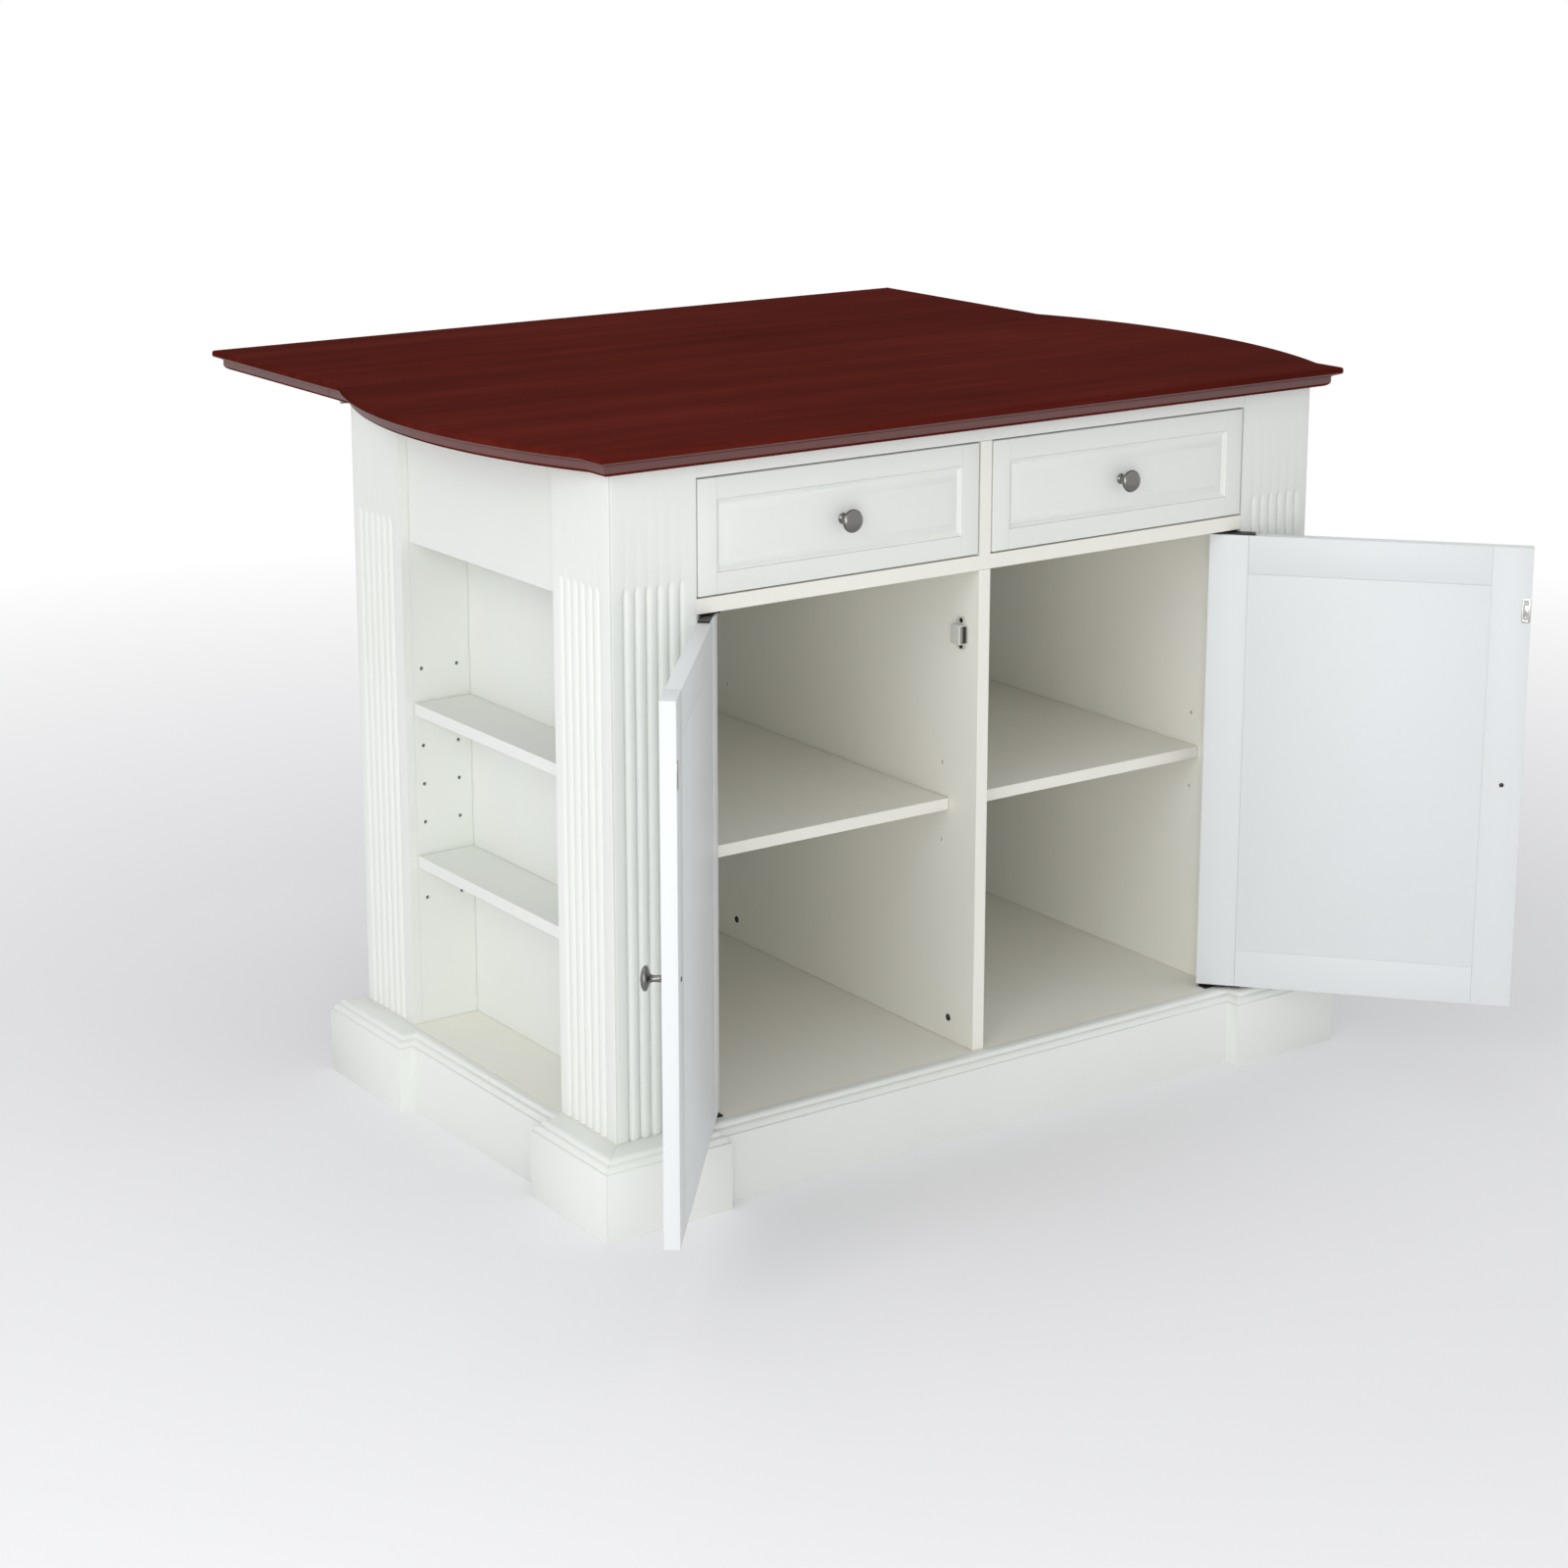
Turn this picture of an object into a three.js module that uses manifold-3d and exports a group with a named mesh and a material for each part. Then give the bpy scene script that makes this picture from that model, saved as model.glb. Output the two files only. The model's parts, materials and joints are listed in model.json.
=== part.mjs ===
// A drop leaf kitchen island: a painted case on a moulded plinth, with reeded corner
// posts, two drawers over two doors, open shelf bays at both ends, and a stained top
// whose rear leaf folds down.
//
// Millimetres. X runs to the right along the front, Y to the back and Z up. The origin
// is on the floor, under the middle of the plinth. The pieces are in the places that
// they have with the leaf raised, both doors open and the drawers shut.

import * as THREE from 'three';
import { mergeVertices } from 'three/addons/utils/BufferGeometryUtils.js';
import Module from 'manifold-3d';

const wasm = await Module();
wasm.setup();

// ---------------------------------------------------------------- driving dimensions

const GAP = 0.3;                    // between two pieces that touch

// Heights above the floor
const TOP_HEIGHT = 914;             // worktop surface
const TOP_THICK = 25;
const PLINTH_HIGH = 98;             // top of the plinth and of the case floor
const DECK_LOW = 714;               // underside of the panel that the drawers run on
const DECK_HIGH = 732;
const APRON_LOW = 728;              // lower edge of the side and rear aprons
const SUBTOP_LOW = 872;             // underside of the frame under the top
const FLUTE_TOP = 758;              // where the reeding ends, under the square blocks

// The case on plan
const POST_X = 534;                 // outer face of the corner posts
const FRONT_Y = -297;               // front face of posts, doors and drawers
const BACK_Y = 311;                 // rear face of the corner posts
const POST_WIDE = 115.5;            // of a post across the front
const POST_DEEP = 123;              // of a post along the side
const BOARD = 12;                   // post boards, end partitions and bay linings
const PANEL_END_Y = 285;            // rear edges of floor, deck, divider and partitions

// Plinth
const PLINTH_X = 575.5;             // half width, over the corner blocks
const PLINTH_Y = 340;               // half depth, over the corner blocks
const BLOCK_X = 174;                // corner block along the front and the back
const BLOCK_FRONT_Y = 171;          // front corner block along the side
const BLOCK_BACK_Y = 187;           // rear corner block along the side
const BREAK = 19.5;                 // how far the plinth steps back between blocks
const BREAK_BACK = 8;
const LEDGE = 8;                    // how far the plinth reaches under the case floor
const FLOOR_THICK = 18;

// Top and leaf
const TOP_X = 562;                  // half width at the square ears and of the leaf
const TOP_FRONT_Y = -326;
const SEAM_Y = 332;
const SEAM_GAP = 1;
const LEAF_DEEP = 313;
const BOW = 57;                     // how far the ends swell past the ears
const EAR = 47;                     // length of the straight ears
const BOW_STEPS = 20;

// Doors and their pivot hinges
const DOOR_OPEN = { left: 130, right: 132 };    // degrees
const DOOR_WIDE = 405;
const DOOR_THICK = 18;
const DOOR_LOW = 103;
const DOOR_HIGH = 709.5;
const STILE = 50;
const MIDDLE_GAP = 11;              // from the centre line to a door or drawer front
const PIVOT_X = 398.5;
const PIVOT_Y = FRONT_Y + 8.5;      // in the middle of the door's thickness

// Drawers
const DRAWER_LOW = 734;
const DRAWER_HIGH = 870;
const DRAWER_DEEP = 484;
const DRAWER_SIDE = 12;

// Shelves and their pin holes
const SHELF_THICK = 15;
const PIN_PITCH = 50;
const PIN_RADIUS = 2.3;
const PIN_DEPTH = 8;
const MAIN_PIN_Z = 357.7;           // lowest of three holes in the cupboard
const MAIN_PIN_Y = [-228, 247];
const BAY_PIN_Z = 264.5;            // lowest of seven holes in the bays
const BAY_PIN_X = [459, 509];

// Leaf stays: a strut pivoted on the rear apron, folding flat behind the hung leaf
const STAY_X = 330;
const STAY_REACH = 118;             // tip to pivot, both along Y and along Z
const STAY_PIVOT_Y = 320;
const STAY_TIP_Z = 877.5;
const STAY_THICK = 5;
const STAY_HALF_WIDTH = 8;

// ------------------------------------------------------------------------- materials

function finish(color, roughness, metalness) {
  return new THREE.MeshStandardMaterial({ color, roughness, metalness });
}

const WHITE_PAINT = finish(0xf0f1ec, 0.45, 0);
const RED_STAIN = finish(0x55201c, 0.3, 0);
const PALE_BOARD = finish(0xd9c7a4, 0.7, 0);
const NICKEL = finish(0xb9b9b6, 0.25, 1);
const BLACK_STEEL = finish(0x1c1c1e, 0.45, 0.8);
const GREY_STEEL = finish(0x8d9094, 0.4, 0.9);

// --------------------------------------------------------------- solids and placement

function solid(geometry) {
  const flat = geometry.clone();
  flat.deleteAttribute('normal');
  flat.deleteAttribute('uv');
  const shared = mergeVertices(flat, 1e-4);
  return new wasm.Manifold(new wasm.Mesh({
    numProp: 3,
    vertProperties: new Float32Array(shared.attributes.position.array),
    triVerts: new Uint32Array(shared.index.array),
  }));
}

function mesh(name, body, material) {
  const result = body.getMesh();
  const geometry = new THREE.BufferGeometry();
  geometry.setAttribute('position', new THREE.BufferAttribute(result.vertProperties, 3));
  geometry.setIndex(new THREE.BufferAttribute(result.triVerts, 1));
  geometry.computeVertexNormals();
  const part = new THREE.Mesh(geometry, material);
  part.name = name;
  return part;
}

// A box between two values on each axis, given in either order.
function block([x0, x1], [y0, y1], [z0, z1]) {
  const size = [x1 - x0, y1 - y0, z1 - z0].map(Math.abs);
  const geometry = new THREE.BoxGeometry(...size);
  geometry.translate((x0 + x1) / 2, (y0 + y1) / 2, (z0 + z1) / 2);
  return solid(geometry);
}

// A round bar from one point, running along 'x', 'y' or 'z' for a signed length.
function bar(axis, radius, [x, y, z], length, sides = 10) {
  const geometry = new THREE.CylinderGeometry(radius, radius, Math.abs(length), sides);
  geometry.translate(0, length / 2, 0);
  if (axis === 'x') geometry.rotateZ(-Math.PI / 2);
  if (axis === 'z') geometry.rotateX(Math.PI / 2);
  geometry.translate(x, y, z);
  return solid(geometry);
}

// A solid whose outline changes with height. Each level is { z, outline }, bottom first,
// with the same number of [x, y] points, anticlockwise from above.
function loft(levels) {
  const count = levels[0].outline.length;
  const points = levels.flatMap(({ z, outline }) => outline.map(([x, y]) => [x, y, z]));
  const faces = [];
  for (let level = 0; level < levels.length - 1; level += 1) {
    for (let i = 0; i < count; i += 1) {
      const a = level * count + i;
      const b = level * count + ((i + 1) % count);
      faces.push([a, b, b + count], [a, b + count, a + count]);
    }
  }
  const cap = (outline) => THREE.ShapeUtils.triangulateShape(
    outline.map(([x, y]) => new THREE.Vector2(x, y)),
    [],
  );
  const last = (levels.length - 1) * count;
  cap(levels[0].outline).forEach(([a, b, c]) => faces.push([a, c, b]));
  cap(levels[levels.length - 1].outline)
    .forEach(([a, b, c]) => faces.push([a + last, b + last, c + last]));
  const geometry = new THREE.BufferGeometry();
  geometry.setAttribute('position', new THREE.Float32BufferAttribute(points.flat(), 3));
  geometry.setIndex(faces.flat());
  return solid(geometry);
}

function join(first, ...others) {
  return others.reduce((whole, piece) => whole.add(piece), first);
}

function cut(first, ...others) {
  return others.reduce((whole, piece) => whole.subtract(piece), first);
}

// The two ends of the case and the two halves of the front, as a name and an X sign.
const SIDES = [['left', -1], ['right', 1]];

const island = new THREE.Group();

// --------------------------------------------------------------------------- plinth

// Moulded edge of the plinth: how far each level stands in from the face, and its height.
const PLINTH_EDGE = [
  [0, 0], [0, 83.5], [1, 85.5], [3, 86.5], [4.5, 88], [6, 91.5], [9, 93.5],
  [12.5, 94.5], [15, 95], [16, 95.5], [16, PLINTH_HIGH],
];

// The breakfront outline of the plinth, moved in by an inset.
function plinthOutline(inset) {
  const x = PLINTH_X - inset;
  const y = PLINTH_Y - inset;
  const blockX = PLINTH_X - BLOCK_X + inset;
  const frontEnd = -PLINTH_Y + BLOCK_FRONT_Y - inset;
  const backEnd = PLINTH_Y - BLOCK_BACK_Y + inset;
  const right = [
    [blockX, -y + BREAK], [blockX, -y], [x, -y], [x, frontEnd],
    [x - BREAK, frontEnd], [x - BREAK, backEnd], [x, backEnd], [x, y],
    [blockX, y], [blockX, y - BREAK_BACK],
  ];
  const left = right.map(([px, py]) => [-px, py]).reverse();
  return [...right, ...left];
}

// Two points on the mitre line of a corner, one outside the plinth and one inside.
function mitre(signX, outerY, innerY, shift) {
  return [1, -6].map((along) => [
    signX * (PLINTH_X + along * (PLINTH_X - POST_X + LEDGE)),
    outerY + along * (outerY - innerY) + shift,
  ]);
}

// Four mitred boards, each with its cap moulding and the ledge that the floor rests on.
function plinthBoards() {
  const ring = cut(
    loft(PLINTH_EDGE.map(([inset, z]) => ({ z, outline: plinthOutline(inset) }))),
    block(
      [LEDGE - POST_X, POST_X - LEDGE],
      [FRONT_Y + LEDGE, BACK_Y - LEDGE],
      [-1, PLINTH_HIGH + 1],
    ),
    block(
      [-POST_X - 1, POST_X + 1],
      [FRONT_Y - 1, BACK_Y + 1],
      [PLINTH_HIGH - FLOOR_THICK - GAP, PLINTH_HIGH + 1],
    ),
  );
  const half = GAP / 2;
  const front = (signX, shift) => mitre(signX, -PLINTH_Y, FRONT_Y + LEDGE, shift);
  const back = (signX, shift) => mitre(signX, PLINTH_Y, BACK_Y - LEDGE, shift);
  const regions = {
    front: [...front(-1, -half).reverse(), ...front(1, -half)],
    back: [...back(1, half).reverse(), ...back(-1, half)],
    right: [...front(1, half).reverse(), ...back(1, -half)],
    left: [...back(-1, -half).reverse(), ...front(-1, half)],
  };
  return Object.entries(regions).map(([side, outline]) => {
    const region = loft([-1, PLINTH_HIGH + 1].map((z) => ({ z, outline })));
    return mesh(`plinth_${side}`, ring.intersect(region), WHITE_PAINT);
  });
}

function plinthCentreRail() {
  const rail = block(
    [-9, 9],
    [FRONT_Y + LEDGE + GAP, BACK_Y - LEDGE - GAP],
    [0, PLINTH_HIGH - FLOOR_THICK - GAP],
  );
  return mesh('plinth_centre_rail', rail, PALE_BOARD);
}

function caseFloor() {
  const reach = 0.7;                // past the posts, to the cap of the plinth
  const floor = block(
    [-POST_X - reach, POST_X + reach],
    [FRONT_Y - reach, BACK_Y + reach],
    [PLINTH_HIGH - FLOOR_THICK, PLINTH_HIGH],
  );
  return mesh('bottom_panel', floor, WHITE_PAINT);
}

island.add(...plinthBoards(), plinthCentreRail(), caseFloor());

// --------------------------------------------------------------------- corner posts

const QUIRKS = 6;                   // narrow grooves on each face, with rounded reeds between
const FRONT_REEDS = { margin: 19.6, pitch: 15.07 };
const SIDE_REEDS = {
  front: { margin: 26.5, pitch: 15.5 },
  rear: { margin: 20, pitch: 15.5 },
};
const POST_CHAMFER = 3;

// One side of a quirk: how far out from its middle, and how deep it is there.
const QUIRK_FLANK = [[7, 0.15], [4.5, 0.6], [2, 1.9], [0.6, 3.6]];

// A cutter for one quirk, run up a face of the post and fading out under the block.
// across is the direction over the face and inward the direction into it.
function quirkCut([x, y], across, inward) {
  const section = (depth) => {
    const right = QUIRK_FLANK.map(([out, down]) => [out, down * depth]);
    const left = right.map(([out, down]) => [-out, down]);
    const points = [[-7, -1], ...left, ...right.reverse(), [7, -1]];
    const outline = points.map(([out, down]) => [
      x + across[0] * out + inward[0] * down,
      y + across[1] * out + inward[1] * down,
    ]);
    const turn = across[0] * inward[1] - across[1] * inward[0];
    return turn > 0 ? outline.reverse() : outline;
  };
  return loft([
    { z: PLINTH_HIGH, outline: section(1) },
    { z: FLUTE_TOP - 9, outline: section(1) },
    { z: FLUTE_TOP - 3, outline: section(0.6) },
    { z: FLUTE_TOP, outline: section(-0.1) },
  ]);
}

// Two boards glued in an L. u and v run in from the corner, along the front or back
// and along the side.
function cornerPost(end, side, signX, cornerY, signY) {
  const place = (u, v) => [signX * (POST_X - u), cornerY - signY * v];
  const corners = [
    [POST_CHAMFER, 0], [POST_WIDE, 0], [POST_WIDE, BOARD], [BOARD, BOARD],
    [BOARD, POST_DEEP], [0, POST_DEEP], [0, POST_CHAMFER],
  ].map(([u, v]) => place(u, v));
  if (signX * signY < 0) corners.reverse();
  const foot = PLINTH_HIGH + GAP;
  const head = TOP_HEIGHT - TOP_THICK - GAP;
  const boards = loft([foot, head].map((z) => ({ z, outline: corners })));
  const along = [-signX, 0];
  const deep = [0, -signY];
  const sideReeds = SIDE_REEDS[end];
  const cuts = Array.from({ length: QUIRKS }, (_, i) => [
    quirkCut(place(FRONT_REEDS.margin + i * FRONT_REEDS.pitch, 0), along, deep),
    quirkCut(place(0, sideReeds.margin + i * sideReeds.pitch), deep, along),
  ]).flat();
  return mesh(`corner_post_${end}_${side}`, cut(boards, ...cuts), WHITE_PAINT);
}

SIDES.forEach(([side, sign]) => {
  island.add(cornerPost('front', side, sign, FRONT_Y, -1));
  island.add(cornerPost('rear', side, sign, BACK_Y, 1));
});

// ------------------------------------------------------------------- case partitions

const PARTITION_X = POST_X - POST_WIDE - GAP;   // outer face of an end partition
const OPENING_X = PARTITION_X - BOARD;          // inner face, the side of a cupboard
const DIVIDER_HALF = 8.5;
const FLOOR_TOP = PLINTH_HIGH + GAP;
const BAY_FRONT_Y = FRONT_Y + POST_DEEP;
const BAY_BACK_Y = BACK_Y - POST_DEEP;
const BAY_BACK_X = 440.5;                       // face of the panel behind a bay
const BAY_FACE_X = POST_X - BOARD - GAP;        // outer edges of linings and shelves

function mainPinHoles(fromX, toX) {
  return MAIN_PIN_Y.flatMap((y) => [0, 1, 2].map((row) => bar(
    'x',
    PIN_RADIUS + GAP,
    [fromX, y, MAIN_PIN_Z + row * PIN_PITCH],
    toX - fromX,
    8,
  )));
}

// The divider between the cupboards, drilled right through for the shelf pins and with
// two blind holes for the joint fittings near the floor.
function divider() {
  const fittings = [[-247, 127.8], [225, 127.8]]
    .map(([y, z]) => bar('x', 3, [-DIVIDER_HALF - 1, y, z], 8, 8));
  const panel = block(
    [-DIVIDER_HALF, DIVIDER_HALF],
    [FRONT_Y, PANEL_END_Y],
    [FLOOR_TOP, DECK_LOW - GAP],
  );
  const holes = mainPinHoles(-DIVIDER_HALF - 1, DIVIDER_HALF + 1);
  return mesh('divider_panel', cut(panel, ...holes, ...fittings), WHITE_PAINT);
}

// The outer side of a cupboard. It stops clear behind the door, and its return closes the
// corner behind the front post.
const PARTITION_FRONT_Y = FRONT_Y + 28;

function endPartition(side, sign) {
  const belowDeck = [FLOOR_TOP, DECK_LOW - GAP];
  const returnX = POST_X - POST_WIDE + BOARD;
  const panel = join(
    block(
      [sign * OPENING_X, sign * PARTITION_X],
      [PARTITION_FRONT_Y, PANEL_END_Y],
      [FLOOR_TOP, SUBTOP_LOW - GAP],
    ),
    block(
      [sign * OPENING_X, sign * returnX],
      [PARTITION_FRONT_Y, PARTITION_FRONT_Y + BOARD],
      belowDeck,
    ),
    block(
      [sign * (PARTITION_X + 2 * GAP), sign * returnX],
      [FRONT_Y + BOARD + GAP, PARTITION_FRONT_Y + 1],
      belowDeck,
    ),
  );
  const holes = mainPinHoles(sign * (OPENING_X - 1), sign * (OPENING_X + PIN_DEPTH));
  return mesh(`end_partition_${side}`, cut(panel, ...holes), WHITE_PAINT);
}

function bayBack(side, sign) {
  const panel = block(
    [sign * (BAY_BACK_X - BOARD), sign * BAY_BACK_X],
    [BAY_FRONT_Y - BOARD, BAY_BACK_Y + BOARD],
    [FLOOR_TOP, SUBTOP_LOW - GAP],
  );
  return mesh(`bay_back_${side}`, panel, WHITE_PAINT);
}

// A lining across one end of a bay, behind a post, with two columns of pin holes.
// inward is the Y direction from the lining into the bay.
function bayCheek(side, sign, end, faceY, inward) {
  const lining = block(
    [sign * (BAY_BACK_X + GAP), sign * BAY_FACE_X],
    [faceY - inward * BOARD, faceY],
    [FLOOR_TOP, TOP_HEIGHT - TOP_THICK - GAP],
  );
  const holes = BAY_PIN_X.flatMap((x) => Array.from({ length: 7 }, (_, row) => bar(
    'y',
    PIN_RADIUS + GAP,
    [sign * x, faceY + inward, BAY_PIN_Z + row * PIN_PITCH],
    -inward * (PIN_DEPTH + 1),
    8,
  )));
  return mesh(`bay_cheek_${end}_${side}`, cut(lining, ...holes), WHITE_PAINT);
}

function backPanel() {
  const panel = block(
    [-PARTITION_X, PARTITION_X],
    [PANEL_END_Y + GAP, PANEL_END_Y + GAP + 6],
    [FLOOR_TOP, APRON_LOW - GAP],
  );
  return mesh('back_panel', panel, WHITE_PAINT);
}

island.add(divider(), backPanel());
SIDES.forEach(([side, sign]) => {
  island.add(endPartition(side, sign), bayBack(side, sign));
  island.add(bayCheek(side, sign, 'front', BAY_FRONT_Y, 1));
  island.add(bayCheek(side, sign, 'rear', BAY_BACK_Y, -1));
});

// ---------------------------------------------------------- drawer deck and top frame

const DRAWER_MIDDLE_X = MIDDLE_GAP + DOOR_WIDE / 2;

// The panel over the cupboards, with the upright between the drawers and one guide
// strip under each drawer glued to it.
function drawerDeck() {
  const width = OPENING_X - GAP;
  const deck = join(
    block([-width, width], [FRONT_Y, PANEL_END_Y], [DECK_LOW, DECK_HIGH]),
    block(
      [-PARTITION_X, PARTITION_X],
      [FRONT_Y, PARTITION_FRONT_Y - GAP],
      [DECK_LOW, DECK_HIGH],
    ),
    block(
      [-DIVIDER_HALF, DIVIDER_HALF],
      [FRONT_Y, PANEL_END_Y],
      [DECK_HIGH - 1, SUBTOP_LOW - GAP],
    ),
    ...SIDES.map(([, sign]) => block(
      [sign * (DRAWER_MIDDLE_X - 10), sign * (DRAWER_MIDDLE_X + 10)],
      [FRONT_Y + 27, PANEL_END_Y - 15],
      [DECK_HIGH - 1, DECK_HIGH + 7],
    )),
  );
  return mesh('drawer_deck', deck, WHITE_PAINT);
}

// Front rail, side and rear aprons and the cross rails that the top is screwed to.
function apronFrame() {
  const rail = 60;
  const thick = 18;
  const level = [SUBTOP_LOW, TOP_HEIGHT - TOP_THICK - GAP];
  const drop = [APRON_LOW, TOP_HEIGHT - TOP_THICK - GAP];
  const rearApron = BACK_Y - 6;
  const ends = SIDES.flatMap(([, sign]) => [
    block([sign * (OPENING_X - 28), sign * PARTITION_X], [FRONT_Y, rearApron], level),
    block(
      [sign * (OPENING_X - 28), sign * BAY_FACE_X],
      [BAY_FRONT_Y + GAP, BAY_BACK_Y - GAP],
      level,
    ),
    block(
      [sign * (BAY_FACE_X - thick), sign * BAY_FACE_X],
      [BAY_FRONT_Y + GAP, BAY_BACK_Y - GAP],
      drop,
    ),
  ]);
  const frame = join(
    block([-PARTITION_X, PARTITION_X], [FRONT_Y, FRONT_Y + rail], level),
    block([-PARTITION_X, PARTITION_X], [rearApron - thick - rail, rearApron], level),
    block([-PARTITION_X, PARTITION_X], [rearApron - thick, rearApron], drop),
    ...ends,
  );
  return mesh('apron_frame', frame, WHITE_PAINT);
}

island.add(drawerDeck(), apronFrame());

// ----------------------------------------------------------------- top, leaf, hinge

// Moulded edge of the top: how far each level stands in, and its depth below the top.
const TOP_EDGE = [
  [16.8, TOP_THICK], [14.4, 23.7], [12.2, 20.8], [11.2, 17.8], [10.9, 15.2], [11.4, 13.4],
  [9.8, 12.2], [5, 10.4], [1.2, 8.6], [0, 7], [0, 1.2], [1.2, 0],
];

// Square at the seam, with a bowed end between two ears on either side.
function topOutline(inset) {
  const earX = TOP_X - inset;
  const halfChord = (SEAM_Y - TOP_FRONT_Y) / 2 - EAR;
  const radius = (halfChord ** 2 + BOW ** 2) / (2 * BOW);
  const centreX = TOP_X + BOW - radius;
  const centreY = (SEAM_Y + TOP_FRONT_Y) / 2;
  const reach = Math.acos((earX - centreX) / (radius - inset));
  const bow = Array.from({ length: BOW_STEPS + 1 }, (_, i) => {
    const angle = reach * ((2 * i) / BOW_STEPS - 1);
    return [
      centreX + (radius - inset) * Math.cos(angle),
      centreY + (radius - inset) * Math.sin(angle),
    ];
  });
  const right = [[earX, TOP_FRONT_Y + inset], ...bow, [earX, SEAM_Y]];
  return [...right, ...right.map(([x, y]) => [-x, y]).reverse()];
}

function leafOutline(inset) {
  const x = TOP_X - inset;
  const front = SEAM_Y + SEAM_GAP;
  const back = front + LEAF_DEEP - inset;
  return [[-x, front], [x, front], [x, back], [-x, back]];
}

function slab(name, outline) {
  const levels = TOP_EDGE.map(([inset, depth]) => ({
    z: TOP_HEIGHT - depth,
    outline: outline(inset),
  }));
  return mesh(name, loft(levels), RED_STAIN);
}

// A long hinge under the seam. Its knuckles alternate between the two plates.
const HINGE_HALF_LENGTH = 536;
const HINGE_Z = TOP_HEIGHT - TOP_THICK - 4;
const HINGE_Y = SEAM_Y + SEAM_GAP / 2;
const KNUCKLES = 16;

function hingePlate(name, toward, parity) {
  const radius = 3;
  const plate = block(
    [-HINGE_HALF_LENGTH, HINGE_HALF_LENGTH],
    [HINGE_Y + toward * (radius + GAP), HINGE_Y + toward * 19],
    [TOP_HEIGHT - TOP_THICK - GAP - 1.6, TOP_HEIGHT - TOP_THICK - GAP],
  );
  const pitch = (2 * HINGE_HALF_LENGTH) / KNUCKLES;
  const knuckles = Array.from({ length: KNUCKLES }, (_, i) => i)
    .filter((i) => i % 2 === parity)
    .map((i) => {
      const start = -HINGE_HALF_LENGTH + i * pitch + GAP;
      const length = pitch - 2 * GAP;
      return join(
        bar('x', radius, [start, HINGE_Y, HINGE_Z], length, 8),
        block(
          [start, start + length],
          [HINGE_Y + toward, HINGE_Y + toward * (radius + 1)],
          [HINGE_Z + 2, TOP_HEIGHT - TOP_THICK - GAP],
        ),
      );
    });
  return mesh(name, join(plate, ...knuckles), GREY_STEEL);
}

island.add(
  slab('main_top', topOutline),
  slab('drop_leaf', leafOutline),
  hingePlate('leaf_hinge_case_plate', -1, 0),
  hingePlate('leaf_hinge_leaf_plate', 1, 1),
);

// ------------------------------------------------------------------------ leaf stays

const STAY_PIN_RADIUS = 3;
const STAY_PIVOT_Z = STAY_TIP_Z - STAY_REACH;

// A strut of flat bar with rounded ends, drilled for its pivot pin.
function stayArm(side, sign) {
  const length = STAY_REACH * Math.SQRT2;
  const half = STAY_THICK / 2;
  const arm = cut(
    join(
      block([-half, half], [0, length], [-STAY_HALF_WIDTH, STAY_HALF_WIDTH]),
      bar('x', STAY_HALF_WIDTH, [-half, 0, 0], STAY_THICK, 16),
      bar('x', STAY_HALF_WIDTH, [-half, length, 0], STAY_THICK, 16),
    ),
    bar('x', STAY_PIN_RADIUS + GAP, [-half - 1, 0, 0], STAY_THICK + 2),
  );
  const part = mesh(`stay_arm_${side}`, arm, BLACK_STEEL);
  part.position.set(sign * STAY_X, STAY_PIVOT_Y, STAY_PIVOT_Z);
  part.rotation.x = Math.PI / 4;
  return part;
}

// A plate screwed to the rear apron, with two lugs and the pin through them.
function stayBracket(side, sign) {
  const x = sign * STAY_X;
  const face = BACK_Y - 6 + GAP;
  const lugIn = STAY_THICK / 2 + 0.7;
  const lugOut = lugIn + 3;
  const lugs = [-1, 1].map((way) => join(
    block(
      [x + way * lugIn, x + way * lugOut],
      [face, STAY_PIVOT_Y],
      [STAY_PIVOT_Z - 8, STAY_PIVOT_Z + 8],
    ),
    bar('x', 8, [x + way * lugIn, STAY_PIVOT_Y, STAY_PIVOT_Z], way * 3, 16),
  ));
  const bracket = join(
    block([x - 14, x + 14], [face, face + 3], [STAY_PIVOT_Z - 24, STAY_PIVOT_Z + 24]),
    ...lugs,
    bar('x', STAY_PIN_RADIUS, [x - lugOut, STAY_PIVOT_Y, STAY_PIVOT_Z], 2 * lugOut),
  );
  return mesh(`stay_bracket_${side}`, bracket, BLACK_STEEL);
}

// The flat rail under the leaf that the tip of a stay bears on and slides along.
function stayTrack(side, sign) {
  const x = sign * STAY_X;
  const under = TOP_HEIGHT - TOP_THICK - GAP;
  const run = [HINGE_Y + 90, HINGE_Y + 292];
  const rail = join(
    block([x - 11, x + 11], run, [under - 2.7, under]),
    ...[-1, 1].map((way) => block(
      [x + way * 8, x + way * 11],
      run,
      [under - 5.5, under - 1],
    )),
  );
  return mesh(`stay_track_${side}`, rail, BLACK_STEEL);
}

SIDES.forEach(([side, sign]) => {
  island.add(stayBracket(side, sign), stayArm(side, sign), stayTrack(side, sign));
});

// --------------------------------------------------------------------------- shelves

// A shelf with its four support pins, half of each let into the end of the board.
function cupboardShelf(side, sign) {
  const inner = DIVIDER_HALF + 1;
  const outer = OPENING_X - 1;
  const middle = MAIN_PIN_Z + PIN_PITCH;
  const board = block(
    [sign * inner, sign * outer],
    [-243.5, PANEL_END_Y - 2],
    [middle - SHELF_THICK / 2, middle + SHELF_THICK / 2],
  );
  const pins = MAIN_PIN_Y.flatMap((y) => [
    bar('x', PIN_RADIUS, [sign * (inner + 5), y, middle], -sign * 12, 8),
    bar('x', PIN_RADIUS, [sign * (outer - 5), y, middle], sign * 12, 8),
  ]);
  return mesh(`cupboard_shelf_${side}`, join(board, ...pins), WHITE_PAINT);
}

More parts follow.
